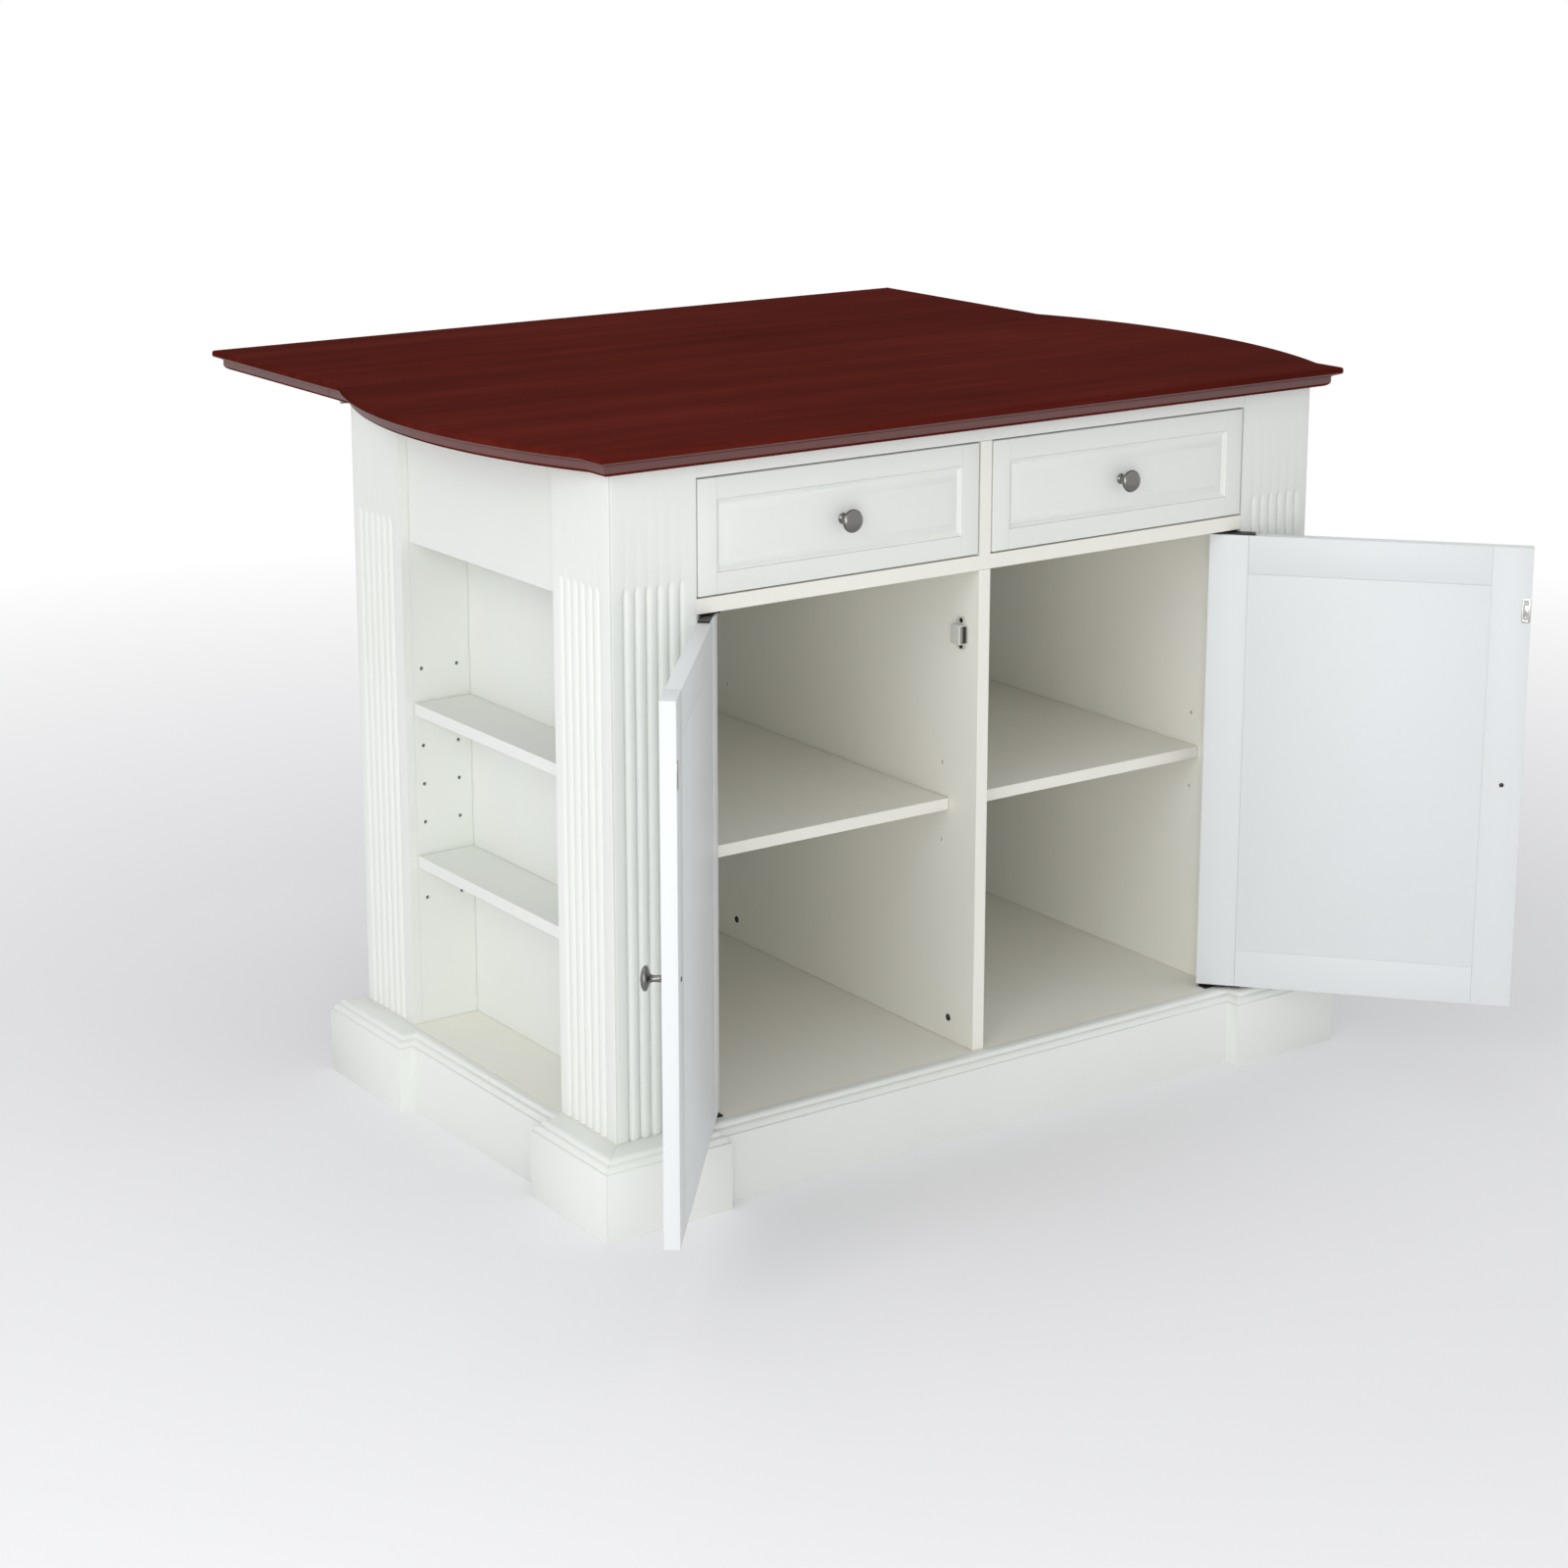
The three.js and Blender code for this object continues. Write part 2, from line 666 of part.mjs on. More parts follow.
function bayShelf(name, sign, row) {
  const middle = BAY_PIN_Z + row * PIN_PITCH;
  const front = BAY_FRONT_Y + 1;
  const back = BAY_BACK_Y - 1;
  const board = block(
    [sign * (BAY_BACK_X + 1), sign * BAY_FACE_X],
    [front, back],
    [middle - SHELF_THICK / 2, middle + SHELF_THICK / 2],
  );
  const pins = BAY_PIN_X.flatMap((x) => [
    bar('y', PIN_RADIUS, [sign * x, front + 5, middle], -12, 8),
    bar('y', PIN_RADIUS, [sign * x, back - 5, middle], 12, 8),
  ]);
  return mesh(name, join(board, ...pins), WHITE_PAINT);
}

SIDES.forEach(([side, sign]) => {
  island.add(
    cupboardShelf(side, sign),
    bayShelf(`bay_shelf_lower_${side}`, sign, 1),
    bayShelf(`bay_shelf_upper_${side}`, sign, 5),
  );
});

// ------------------------------------------------------------------------------ knobs

// A turned knob: radius and distance out from the face that it is screwed to.
const KNOB_PROFILE = [
  [0, 0], [7, 0], [6.5, 1.5], [4.2, 4], [3.8, 11], [5, 14.5], [12, 16.5], [14, 18.5],
  [14, 20.5], [12, 23], [6, 24.6], [0, 25],
];

function knob(name, x, y, z) {
  const outline = KNOB_PROFILE.map(([radius, out]) => new THREE.Vector2(radius, out));
  const geometry = new THREE.LatheGeometry(outline, 18);
  geometry.rotateX(Math.PI);
  geometry.translate(x, y, z);
  return mesh(name, solid(geometry), NICKEL);
}

// ---------------------------------------------------------------------------- drawers

// A rectangle that shrinks towards the front: a raised field with sloping sides.
// Levels are [inset, y], from the back to the front.
function raisedPanel(x0, x1, z0, z1, levels) {
  const shape = loft(levels.map(([inset, y]) => ({
    z: -y,
    outline: [
      [x0 + inset, z0 + inset], [x1 - inset, z0 + inset],
      [x1 - inset, z1 - inset], [x0 + inset, z1 - inset],
    ],
  })));
  return shape.rotate([90, 0, 0]);
}

function drawerFront(side, sign) {
  const [x0, x1] = [sign * MIDDLE_GAP, sign * (MIDDLE_GAP + DOOR_WIDE)].sort((a, b) => a - b);
  const back = FRONT_Y + DOOR_THICK;
  const frame = 25;
  const recess = raisedPanel(
    x0 + frame,
    x1 - frame,
    DRAWER_LOW + frame,
    DRAWER_HIGH - frame,
    [[7, FRONT_Y + 4], [3, FRONT_Y + 3], [0, FRONT_Y - 1]],
  );
  const field = raisedPanel(
    x0 + frame,
    x1 - frame,
    DRAWER_LOW + frame,
    DRAWER_HIGH - frame,
    [[7, FRONT_Y + 5], [9, FRONT_Y + 4], [17, FRONT_Y + 1], [18, FRONT_Y]],
  );
  const board = block([x0, x1], [FRONT_Y, back], [DRAWER_LOW, DRAWER_HIGH]);
  return mesh(`drawer_front_${side}`, join(cut(board, recess), field), WHITE_PAINT);
}

function drawerBox(side, sign) {
  const play = 3.5;
  const near = DIVIDER_HALF + play;
  const far = OPENING_X - play;
  const start = FRONT_Y + DOOR_THICK + GAP;
  const end = start + DRAWER_DEEP;
  const low = DECK_HIGH + 1;
  const high = low + 100;
  const insideX = [sign * (near + DRAWER_SIDE), sign * (far - DRAWER_SIDE)];
  const box = cut(
    block([sign * near, sign * far], [start, end], [low, high]),
    block(insideX, [start + DRAWER_SIDE, end - DRAWER_SIDE], [low + 15, high + 1]),
    block(insideX, [start - 1, end + 1], [low - 1, low + 9]),
  );
  return mesh(`drawer_box_${side}`, box, PALE_BOARD);
}

SIDES.forEach(([side, sign]) => {
  const middleZ = (DRAWER_LOW + DRAWER_HIGH) / 2;
  island.add(
    drawerFront(side, sign),
    drawerBox(side, sign),
    knob(`drawer_knob_${side}`, sign * DRAWER_MIDDLE_X, FRONT_Y - GAP, middleZ),
  );
});

// ------------------------------------------------------------------------------ doors

const HINGE_LEAF_THICK = 1.8;
const HINGE_PIN_RADIUS = 2;
const HINGE_PIN_LONG = 3;

// One leaf of a pivot hinge, a flat plate along the middle of the door's edge. Distances
// are in from the pivot, towards the middle of the island.
function hingeLeaf(sign, low, [from, to]) {
  return block(
    [sign * (PIVOT_X - from), sign * (PIVOT_X - to)],
    [PIVOT_Y - 7, PIVOT_Y + 7],
    [low, low + HINGE_LEAF_THICK],
  );
}

// The leaf let in above or below the door opening carries the pin.
function caseLeaf(end, side, sign) {
  const top = end === 'top';
  const low = top ? DECK_LOW - GAP - HINGE_LEAF_THICK : FLOOR_TOP;
  const middle = low + HINGE_LEAF_THICK / 2;
  const reach = top ? -HINGE_PIN_LONG : HINGE_PIN_LONG;
  const pin = bar('z', HINGE_PIN_RADIUS, [sign * PIVOT_X, PIVOT_Y, middle], reach, 8);
  const leaf = join(hingeLeaf(sign, low, [-14, 14]), pin);
  return mesh(`hinge_case_leaf_${end}_${side}`, leaf, BLACK_STEEL);
}

function doorLeaf(end, side, sign) {
  const low = end === 'top' ? DOOR_HIGH + GAP : DOOR_LOW - GAP - HINGE_LEAF_THICK;
  const eye = bar('z', HINGE_PIN_RADIUS + GAP, [sign * PIVOT_X, PIVOT_Y, low - 1], 4, 8);
  const leaf = cut(hingeLeaf(sign, low, [-15, 40]), eye);
  return mesh(`hinge_door_leaf_${end}_${side}`, leaf, BLACK_STEEL);
}

const GROOVE = 8;                               // depth of the panel groove

function doorFrame(side, sign) {
  const outer = [sign * MIDDLE_GAP, sign * (MIDDLE_GAP + DOOR_WIDE)];
  const inner = (margin) => [
    [sign * (MIDDLE_GAP + margin), sign * (MIDDLE_GAP + DOOR_WIDE - margin)],
    [DOOR_LOW + margin, DOOR_HIGH - margin],
  ];
  const [openX, openZ] = inner(STILE);
  const [grooveX, grooveZ] = inner(STILE - GROOVE);
  const frame = cut(
    block(outer, [FRONT_Y, FRONT_Y + DOOR_THICK], [DOOR_LOW, DOOR_HIGH]),
    block(openX, [FRONT_Y - 1, FRONT_Y + DOOR_THICK + 1], openZ),
    block(grooveX, [FRONT_Y + 6, FRONT_Y + 12], grooveZ),
  );
  return mesh(`door_frame_${side}`, frame, WHITE_PAINT);
}

// Flush with the frame inside the cupboard and raised in the middle on the front.
function doorPanel(side, sign) {
  const edge = STILE + GAP;
  const [x0, x1] = [sign * (MIDDLE_GAP + edge), sign * (MIDDLE_GAP + DOOR_WIDE - edge)]
    .sort((a, b) => a - b);
  const [z0, z1] = [DOOR_LOW + edge, DOOR_HIGH - edge];
  const tongue = GROOVE - 1;
  const panel = join(
    raisedPanel(x0, x1, z0, z1, [
      [0, FRONT_Y + DOOR_THICK], [0, FRONT_Y + 8], [4, FRONT_Y + 7],
      [28, FRONT_Y + 3.5], [28.5, FRONT_Y + 2],
    ]),
    block(
      [x0 - tongue, x1 + tongue],
      [FRONT_Y + 6 + GAP, FRONT_Y + 12 - GAP],
      [z0 - tongue, z1 + tongue],
    ),
  );
  return mesh(`door_panel_${side}`, panel, WHITE_PAINT);
}

function door(side, sign) {
  const hung = new THREE.Group();
  const swing = new THREE.Group();
  hung.position.set(sign * PIVOT_X, PIVOT_Y, 0);
  hung.rotation.z = THREE.MathUtils.degToRad(sign * DOOR_OPEN[side]);
  swing.position.set(-sign * PIVOT_X, -PIVOT_Y, 0);
  swing.add(
    doorFrame(side, sign),
    doorPanel(side, sign),
    doorLeaf('top', side, sign),
    doorLeaf('bottom', side, sign),
    knob(`door_knob_${side}`, sign * (MIDDLE_GAP + STILE / 2), FRONT_Y - GAP, 400),
  );
  hung.add(swing);
  return hung;
}

// A magnetic catch on the face of the divider, level with the strike on the door: a thin
// mounting flange, a body and the two pole plates that stand out of its front.
const CATCH_Z = 630;

function doorCatch(side, sign) {
  const near = DIVIDER_HALF + GAP;
  const around = (half) => [CATCH_Z - half, CATCH_Z + half];
  const body = join(
    block([sign * near, sign * (near + 2)], [-274.5, -256.5], around(20.5)),
    block([sign * near, sign * (near + 13)], [-276, -257.5], around(12)),
    block([sign * (near + 2), sign * (near + 11)], [-278, -275.5], around(10.5)),
  );
  return mesh(`door_catch_${side}`, body, GREY_STEEL);
}

SIDES.forEach(([side, sign]) => {
  island.add(door(side, sign), doorCatch(side, sign));
  island.add(caseLeaf('top', side, sign), caseLeaf('bottom', side, sign));
});

export default island;
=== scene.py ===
import json
import math

import bpy
from mathutils import Matrix, Vector


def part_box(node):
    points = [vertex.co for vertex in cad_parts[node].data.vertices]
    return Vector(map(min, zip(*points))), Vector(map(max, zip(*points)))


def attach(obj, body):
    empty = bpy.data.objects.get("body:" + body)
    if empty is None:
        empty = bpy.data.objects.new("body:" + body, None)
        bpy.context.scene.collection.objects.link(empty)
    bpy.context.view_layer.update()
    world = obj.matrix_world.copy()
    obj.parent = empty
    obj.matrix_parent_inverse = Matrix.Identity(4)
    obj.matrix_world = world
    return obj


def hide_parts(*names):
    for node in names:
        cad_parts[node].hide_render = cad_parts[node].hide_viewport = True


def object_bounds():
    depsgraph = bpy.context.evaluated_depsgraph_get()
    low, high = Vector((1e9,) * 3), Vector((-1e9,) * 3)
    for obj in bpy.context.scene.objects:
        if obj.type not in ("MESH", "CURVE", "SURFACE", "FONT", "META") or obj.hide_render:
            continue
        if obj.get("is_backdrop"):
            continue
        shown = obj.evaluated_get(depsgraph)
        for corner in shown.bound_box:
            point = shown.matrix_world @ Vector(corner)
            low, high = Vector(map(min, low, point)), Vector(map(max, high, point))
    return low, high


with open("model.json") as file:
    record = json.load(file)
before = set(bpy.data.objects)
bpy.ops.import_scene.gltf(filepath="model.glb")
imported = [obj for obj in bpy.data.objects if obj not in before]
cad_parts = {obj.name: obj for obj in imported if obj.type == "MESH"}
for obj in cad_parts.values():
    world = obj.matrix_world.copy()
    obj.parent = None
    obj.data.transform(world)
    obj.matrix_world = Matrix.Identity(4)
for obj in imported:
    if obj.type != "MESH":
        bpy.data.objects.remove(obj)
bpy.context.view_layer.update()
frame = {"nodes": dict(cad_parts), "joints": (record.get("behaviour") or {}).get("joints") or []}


# ------------------------------------------------------------------ studio and camera
# A plain pale floor under a soft studio light, seen from the photograph's place: in
# front of the left corner and over the worktop, looking down by 13 degrees.
millimetre = 0.001
scene = bpy.context.scene
scene.view_settings.view_transform = "Standard"

bpy.ops.mesh.primitive_plane_add(size=60, location=(0, 0, 0))
floor = bpy.context.object
floor.name = "studio_floor"
floor_paper = bpy.data.materials.new("studio_floor")
floor_paper.use_nodes = True
tree = floor_paper.node_tree
paper = tree.nodes["Principled BSDF"]
paper.inputs["Base Color"].default_value = (0.9, 0.895, 0.91, 1)
paper.inputs["Roughness"].default_value = 0.7
white = tree.nodes.new("ShaderNodeEmission")
white.inputs["Color"].default_value = (1, 1, 1, 1)


def combined(tree, operation, first, second):
    """One number from two, by a maths node."""
    node = tree.nodes.new("ShaderNodeMath")
    node.operation = operation
    tree.links.new(first, node.inputs[0])
    tree.links.new(second, node.inputs[1])
    return node.outputs["Value"]


def seen_not_lit(tree):
    """One for camera, glossy and transmission rays: white that is seen and lights nothing."""
    rays = tree.nodes.new("ShaderNodeLightPath").outputs
    seen = combined(tree, "MAXIMUM", rays["Is Camera Ray"], rays["Is Glossy Ray"])
    return combined(tree, "MAXIMUM", seen, rays["Is Transmission Ray"])


def spread(tree, pattern, low, high, source=(0, 1)):
    """Maps a pattern from its source range to low and high."""
    span = tree.nodes.new("ShaderNodeMapRange")
    span.inputs["From Min"].default_value = source[0]
    span.inputs["From Max"].default_value = source[1]
    span.inputs["To Min"].default_value = low
    span.inputs["To Max"].default_value = high
    tree.links.new(pattern, span.inputs["Value"])
    return span.outputs["Result"]


# The paper goes over to plain white with its distance from the island, in metres.
paper_to_white = (1.2, 3.4)
reach = tree.nodes.new("ShaderNodeVectorMath")
reach.operation = "LENGTH"
geometry = tree.nodes.new("ShaderNodeNewGeometry")
tree.links.new(geometry.outputs["Position"], reach.inputs[0])
fade = spread(tree, reach.outputs["Value"], 0, 1, paper_to_white)
surface = tree.nodes.new("ShaderNodeMixShader")
tree.links.new(combined(tree, "MULTIPLY", fade, seen_not_lit(tree)), surface.inputs["Fac"])
tree.links.new(paper.outputs["BSDF"], surface.inputs[1])
tree.links.new(white.outputs["Emission"], surface.inputs[2])
tree.links.new(surface.outputs["Shader"], tree.nodes["Material Output"].inputs["Surface"])
floor.data.materials.append(floor_paper)
floor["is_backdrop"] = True

world = bpy.data.worlds.new("studio")
scene.world = world
world.use_nodes = True
tree = world.node_tree
seen = tree.nodes["Background"]
seen.inputs["Color"].default_value = (1, 1, 1, 1)
seen.inputs["Strength"].default_value = 1.0
lit = tree.nodes.new("ShaderNodeBackground")
lit.inputs["Color"].default_value = (0.97, 0.98, 1.0, 1)
lit.inputs["Strength"].default_value = 0.64
sky = tree.nodes.new("ShaderNodeMixShader")
tree.links.new(seen_not_lit(tree), sky.inputs["Fac"])
tree.links.new(lit.outputs["Background"], sky.inputs[1])
tree.links.new(seen.outputs["Background"], sky.inputs[2])
tree.links.new(sky.outputs["Shader"], tree.nodes["World Output"].inputs["Surface"])

# Large soft boxes to the left, beside the camera to reach the cupboards, and above. Each
# has its place and size in metres and its power in watts.
lamp_aim = Vector((0, 0, 0.45))
lamps = {
    "left_softbox": ((-3.9, -1.8, 2.6), 2.4, 46),
    "camera_softbox": ((-2.6, -3.3, 0.9), 1.8, 38),
    "overhead_softbox": ((0.2, 0.6, 4.2), 2.6, 22),
}
for name, (place, size, power) in lamps.items():
    lamp = bpy.data.lights.new(name, "AREA")
    lamp.shape = "SQUARE"
    lamp.size = size
    lamp.energy = power
    holder = bpy.data.objects.new(name, lamp)
    scene.collection.objects.link(holder)
    holder.visible_camera = False
    holder.location = place
    holder.rotation_euler = (lamp_aim - Vector(place)).to_track_quat("-Z", "Y").to_euler()

photo_eye = bpy.data.cameras.new("photo_eye")
photo_eye.sensor_width = 36
photo_eye.lens = 74.0
photo_eye.shift_y = -0.10
camera = bpy.data.objects.new("photo_eye", photo_eye)
scene.collection.objects.link(camera)
camera.location = (-2.3918, -3.2656, 1.5496)
camera_down = 13.415
camera_heading = 54.794
camera.rotation_euler = (
    math.radians(90 - camera_down), 0, math.radians(camera_heading - 90)
)
scene.camera = camera


# ---------------------------------------------------------------------------- plinth
# Four mitred boards of painted hardwood with a moulded cap, standing forward in blocks
# under the corner posts. They are glued at the corners and carry the case floor.
def start(piece=None):
    """Leaves edit mode and selects only this piece."""
    if bpy.context.object and bpy.context.object.mode == "EDIT":
        bpy.ops.object.mode_set(mode="OBJECT")
    bpy.ops.object.select_all(action="DESELECT")
    if piece:
        piece.select_set(True)
        bpy.context.view_layer.objects.active = piece


def settle():
    """Applies place, turn and size, which leaves the origin at the world's."""
    bpy.ops.object.transform_apply(location=True, rotation=True, scale=True)


def block(name, low, high):
    """A cube primitive at its size and place."""
    start()
    low, high = Vector(low), Vector(high)
    bpy.ops.mesh.primitive_cube_add(size=1, location=(low + high) / 2)
    piece = bpy.context.object
    piece.name = name
    piece.scale = high - low
    settle()
    return piece


def sheet(name, low, high, z):
    """A plane primitive between two corners on plan."""
    start()
    middle = ((low[0] + high[0]) / 2, (low[1] + high[1]) / 2, z)
    bpy.ops.mesh.primitive_plane_add(size=1, location=middle)
    piece = bpy.context.object
    piece.name = name
    piece.scale = (high[0] - low[0], high[1] - low[1], 1)
    settle()
    return piece


def pick(piece, kind, wanted):
    """Selects the VERT, EDGE or FACE parts whose middle (and normal) are wanted."""
    start(piece)
    bpy.ops.object.mode_set(mode="EDIT")
    bpy.ops.mesh.select_mode(type=kind)
    bpy.ops.mesh.select_all(action="DESELECT")
    bpy.ops.object.mode_set(mode="OBJECT")
    mesh = piece.data
    if kind == "FACE":
        for face in mesh.polygons:
            face.select = wanted(face.center, face.normal)
    elif kind == "EDGE":
        for edge in mesh.edges:
            ends = [mesh.vertices[v].co for v in edge.vertices]
            edge.select = wanted(*ends)
    else:
        for vertex in mesh.vertices:
            vertex.select = wanted(vertex.co)
    bpy.ops.object.mode_set(mode="EDIT")


def slice_at(piece, places, normal, **options):
    """Cuts the whole mesh by planes through these places."""
    start(piece)
    bpy.ops.object.mode_set(mode="EDIT")
    for place in places:
        bpy.ops.mesh.select_all(action="SELECT")
        bpy.ops.mesh.bisect(plane_co=place, plane_no=normal, **options)
    bpy.ops.object.mode_set(mode="OBJECT")


def carve(piece, cutter, operation="DIFFERENCE"):
    """Cuts or joins with a second mesh, which is then removed."""
    start(piece)
    boolean = piece.modifiers.new("carve", "BOOLEAN")
    boolean.operation = operation
    boolean.object = cutter
    boolean.solver = "EXACT"
    bpy.ops.object.modifier_apply(modifier=boolean.name)
    bpy.data.objects.remove(cutter)


def ease(piece, width, segments=2, angle=32):
    """Rounds the arrises and smooths what is meant to be round."""
    start(piece)
    arris = piece.modifiers.new("arris", "BEVEL")
    arris.width = width
    arris.segments = segments
    arris.limit_method = "ANGLE"
    arris.angle_limit = math.radians(angle)
    bpy.ops.object.modifier_apply(modifier=arris.name)
    smooth(32)


def smooth(degrees):
    """Smooths what bends less than this and keeps the sharper edges."""
    bpy.ops.object.shade_smooth_by_angle(angle=math.radians(degrees))


def extrude(shift):
    bpy.ops.mesh.extrude_region_move(TRANSFORM_OT_translate={"value": shift})


def step_in(steps, rise=millimetre):
    """Insets the selected faces ring by ring, by (in, along) steps in millimetres."""
    for inward, along in steps:
        bpy.ops.mesh.inset(
            thickness=inward * millimetre, depth=along * rise, use_even_offset=True
        )


def face_out():
    """Selects the whole mesh and turns its faces outwards."""
    bpy.ops.mesh.select_all(action="SELECT")
    bpy.ops.mesh.normals_make_consistent(inside=False)


def copy_of(piece, name):
    start(piece)
    bpy.ops.object.duplicate()
    twin = bpy.context.object
    twin.name = name
    return twin


def fit(piece, material, body, slot, *stands_for):
    """Gives a finished piece its material and its place on the frame."""
    start(piece)
    piece.data.materials.clear()
    piece.data.materials.append(material)
    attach(piece, body)
    if stands_for:
        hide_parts(*stands_for)


def fresh_finish(name):
    """A new material with its node tree, its shader and its Object coordinates."""
    material = bpy.data.materials.new(name)
    material.use_nodes = True
    tree = material.node_tree
    place = tree.nodes.new("ShaderNodeTexCoord").outputs["Object"]
    return material, tree, tree.nodes["Principled BSDF"], place


def cloud(tree, place, scale, detail=2, distortion=0):
    """A cloudy pattern at these coordinates."""
    noise = tree.nodes.new("ShaderNodeTexNoise")
    noise.inputs["Scale"].default_value = scale
    noise.inputs["Detail"].default_value = detail
    noise.inputs["Distortion"].default_value = distortion
    tree.links.new(place, noise.inputs["Vector"])
    return noise.outputs["Fac"]


def stretched(tree, place, scale):
    """Coordinates drawn out along the brush or the grain."""
    mapping = tree.nodes.new("ShaderNodeMapping")
    mapping.inputs["Scale"].default_value = scale
    tree.links.new(place, mapping.inputs["Vector"])
    return mapping.outputs["Vector"]


def toned(tree, pattern, stops, shader):
    """Colours the shader by a pattern, through (position, colour) stops."""
    ramp = tree.nodes.new("ShaderNodeValToRGB")
    marks = ramp.color_ramp.elements
    for mark, (position, colour) in zip((marks[0], marks[1]), (stops[0], stops[-1])):
        mark.position = position
        mark.color = (*colour, 1)
    for position, colour in stops[1:-1]:
        marks.new(position).color = (*colour, 1)
    tree.links.new(pattern, ramp.inputs["Fac"])
    tree.links.new(ramp.outputs["Color"], shader.inputs["Base Color"])


def raised(tree, pattern, shader, strength, depth):
    """Lifts the surface by a pattern, depth in metres."""
    bump = tree.nodes.new("ShaderNodeBump")
    bump.inputs["Strength"].default_value = strength
    bump.inputs["Distance"].default_value = depth
    tree.links.new(pattern, bump.inputs["Height"])
    tree.links.new(bump.outputs["Normal"], shader.inputs["Normal"])


def satin_paint(name, colour, shade, brush=(1, 1, 1), roughness=0.42):
    """Sprayed satin paint: a faint drift of tone, fine orange peel and filled grain."""
    material, tree, skin, place = fresh_finish(name)
    drift = cloud(tree, place, 3.2, detail=4)
    toned(tree, drift, [(0.32, shade), (0.68, colour)], skin)
    peel = cloud(tree, place, 420)
    grain = cloud(tree, stretched(tree, place, brush), 60, detail=3)
    relief = tree.nodes.new("ShaderNodeMath")
    relief.operation = "MULTIPLY_ADD"
    relief.inputs[1].default_value = 0.5
    tree.links.new(grain, relief.inputs[0])
    tree.links.new(peel, relief.inputs[2])
    raised(tree, relief.outputs["Value"], skin, 0.09, 0.0006)
    gloss = spread(tree, grain, roughness - 0.06, roughness + 0.08)
    tree.links.new(gloss, skin.inputs["Roughness"])
    skin.inputs["Specular IOR Level"].default_value = 0.42
    return material


case_white = satin_paint("case_white_paint", (0.805, 0.825, 0.785), (0.78, 0.80, 0.755))

plinth_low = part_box("plinth_front")[0]
plinth_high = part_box("plinth_back")[1]
plinth_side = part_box("plinth_right")[1].x
cap_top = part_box("plinth_front")[1].z
block_wide = 174 * millimetre
block_front_deep = 171 * millimetre
block_back_deep = 187 * millimetre
step_back = 19.5 * millimetre
step_back_rear = 8 * millimetre

core_x = plinth_side - step_back
core_front = plinth_low.y + step_back
core_back = plinth_high.y - step_back_rear
ring = sheet("plinth_ring", (-core_x, core_front), (core_x, core_back), 0)
block_edge_x = plinth_side - block_wide
block_edge_front = plinth_low.y + block_front_deep
block_edge_back = plinth_high.y - block_back_deep
slice_at(ring, [(-block_edge_x, 0, 0), (block_edge_x, 0, 0)], (1, 0, 0))
slice_at(ring, [(0, block_edge_front, 0), (0, block_edge_back, 0)], (0, 1, 0))


def near(a, b, within=0.0002):
    return abs(a - b) < within


def beside_block(a, b):
    """Whether an edge across the ends lies under a corner block."""
    before = max(a.y, b.y) < block_edge_front + 0.001
    return before or min(a.y, b.y) > block_edge_back - 0.001


for edge_y, step in ((core_front, -step_back), (core_back, step_back_rear)):
    pick(ring, "EDGE", lambda a, b: near(a.y, edge_y) and near(b.y, edge_y)
         and abs(a.x + b.x) > 2 * block_edge_x)
    extrude((0, step, 0))
for edge_x, step in ((-core_x, -step_back), (core_x, step_back)):
    pick(ring, "EDGE", lambda a, b: near(a.x, edge_x) and near(b.x, edge_x)
         and beside_block(a, b))
    extrude((step, 0, 0))
face_out()
bpy.ops.mesh.dissolve_limited(angle_limit=math.radians(1))
bpy.ops.mesh.select_mode(type="FACE")
bpy.ops.mesh.select_all(action="SELECT")

# The cap moulding, from the face of the board up: steps in and up, in millimetres. The
# rise is scaled to end at the top of the cap.
face_high = 82.5 * millimetre
cap_moulding = [
    (0.3, 0.7), (0.7, 0.4), (2.2, 0.3), (0.2, 0.9), (0.4, 1.4), (0.9, 1.5), (1.5, 1.4),
    (1.8, 0.8), (1.8, 0.3), (0.1, 1.5), (0.8, 1.4), (1.4, 1.2), (1.9, 0.7), (2.0, 0.4),
]
moulding_up = sum(step[1] for step in cap_moulding)
extrude((0, 0, face_high))
step_in(cap_moulding, (cap_top - face_high) / moulding_up)
bpy.ops.object.mode_set(mode="OBJECT")

floor_low, floor_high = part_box("bottom_panel")
clear = 0.3 * millimetre
ledge = 8.5 * millimetre
carve(ring, block(
    "rebate",
    (floor_low.x - clear, floor_low.y - clear, floor_low.z - clear),
    (floor_high.x + clear, floor_high.y + clear, 1),
))
carve(ring, block(
    "cavity",
    (floor_low.x + ledge, floor_low.y + ledge, -1),
    (floor_high.x - ledge, floor_high.y - ledge, 1),
))

# Each board is the ring cut off at its two mitres.
inner = Vector((floor_high.x - ledge, floor_low.y + ledge, 0))
inner_back = floor_high.y - ledge
front_slope = Vector((plinth_side - inner.x, plinth_low.y - inner.y, 0))
back_slope = Vector((plinth_side - inner.x, plinth_high.y - inner_back, 0))
hair = 0.12 * millimetre


def mitre_normal(slope, sign_x, toward_y):
    across = Vector((-slope.y * sign_x, slope.x, 0)).normalized()
    return across if across.y * toward_y > 0 else -across


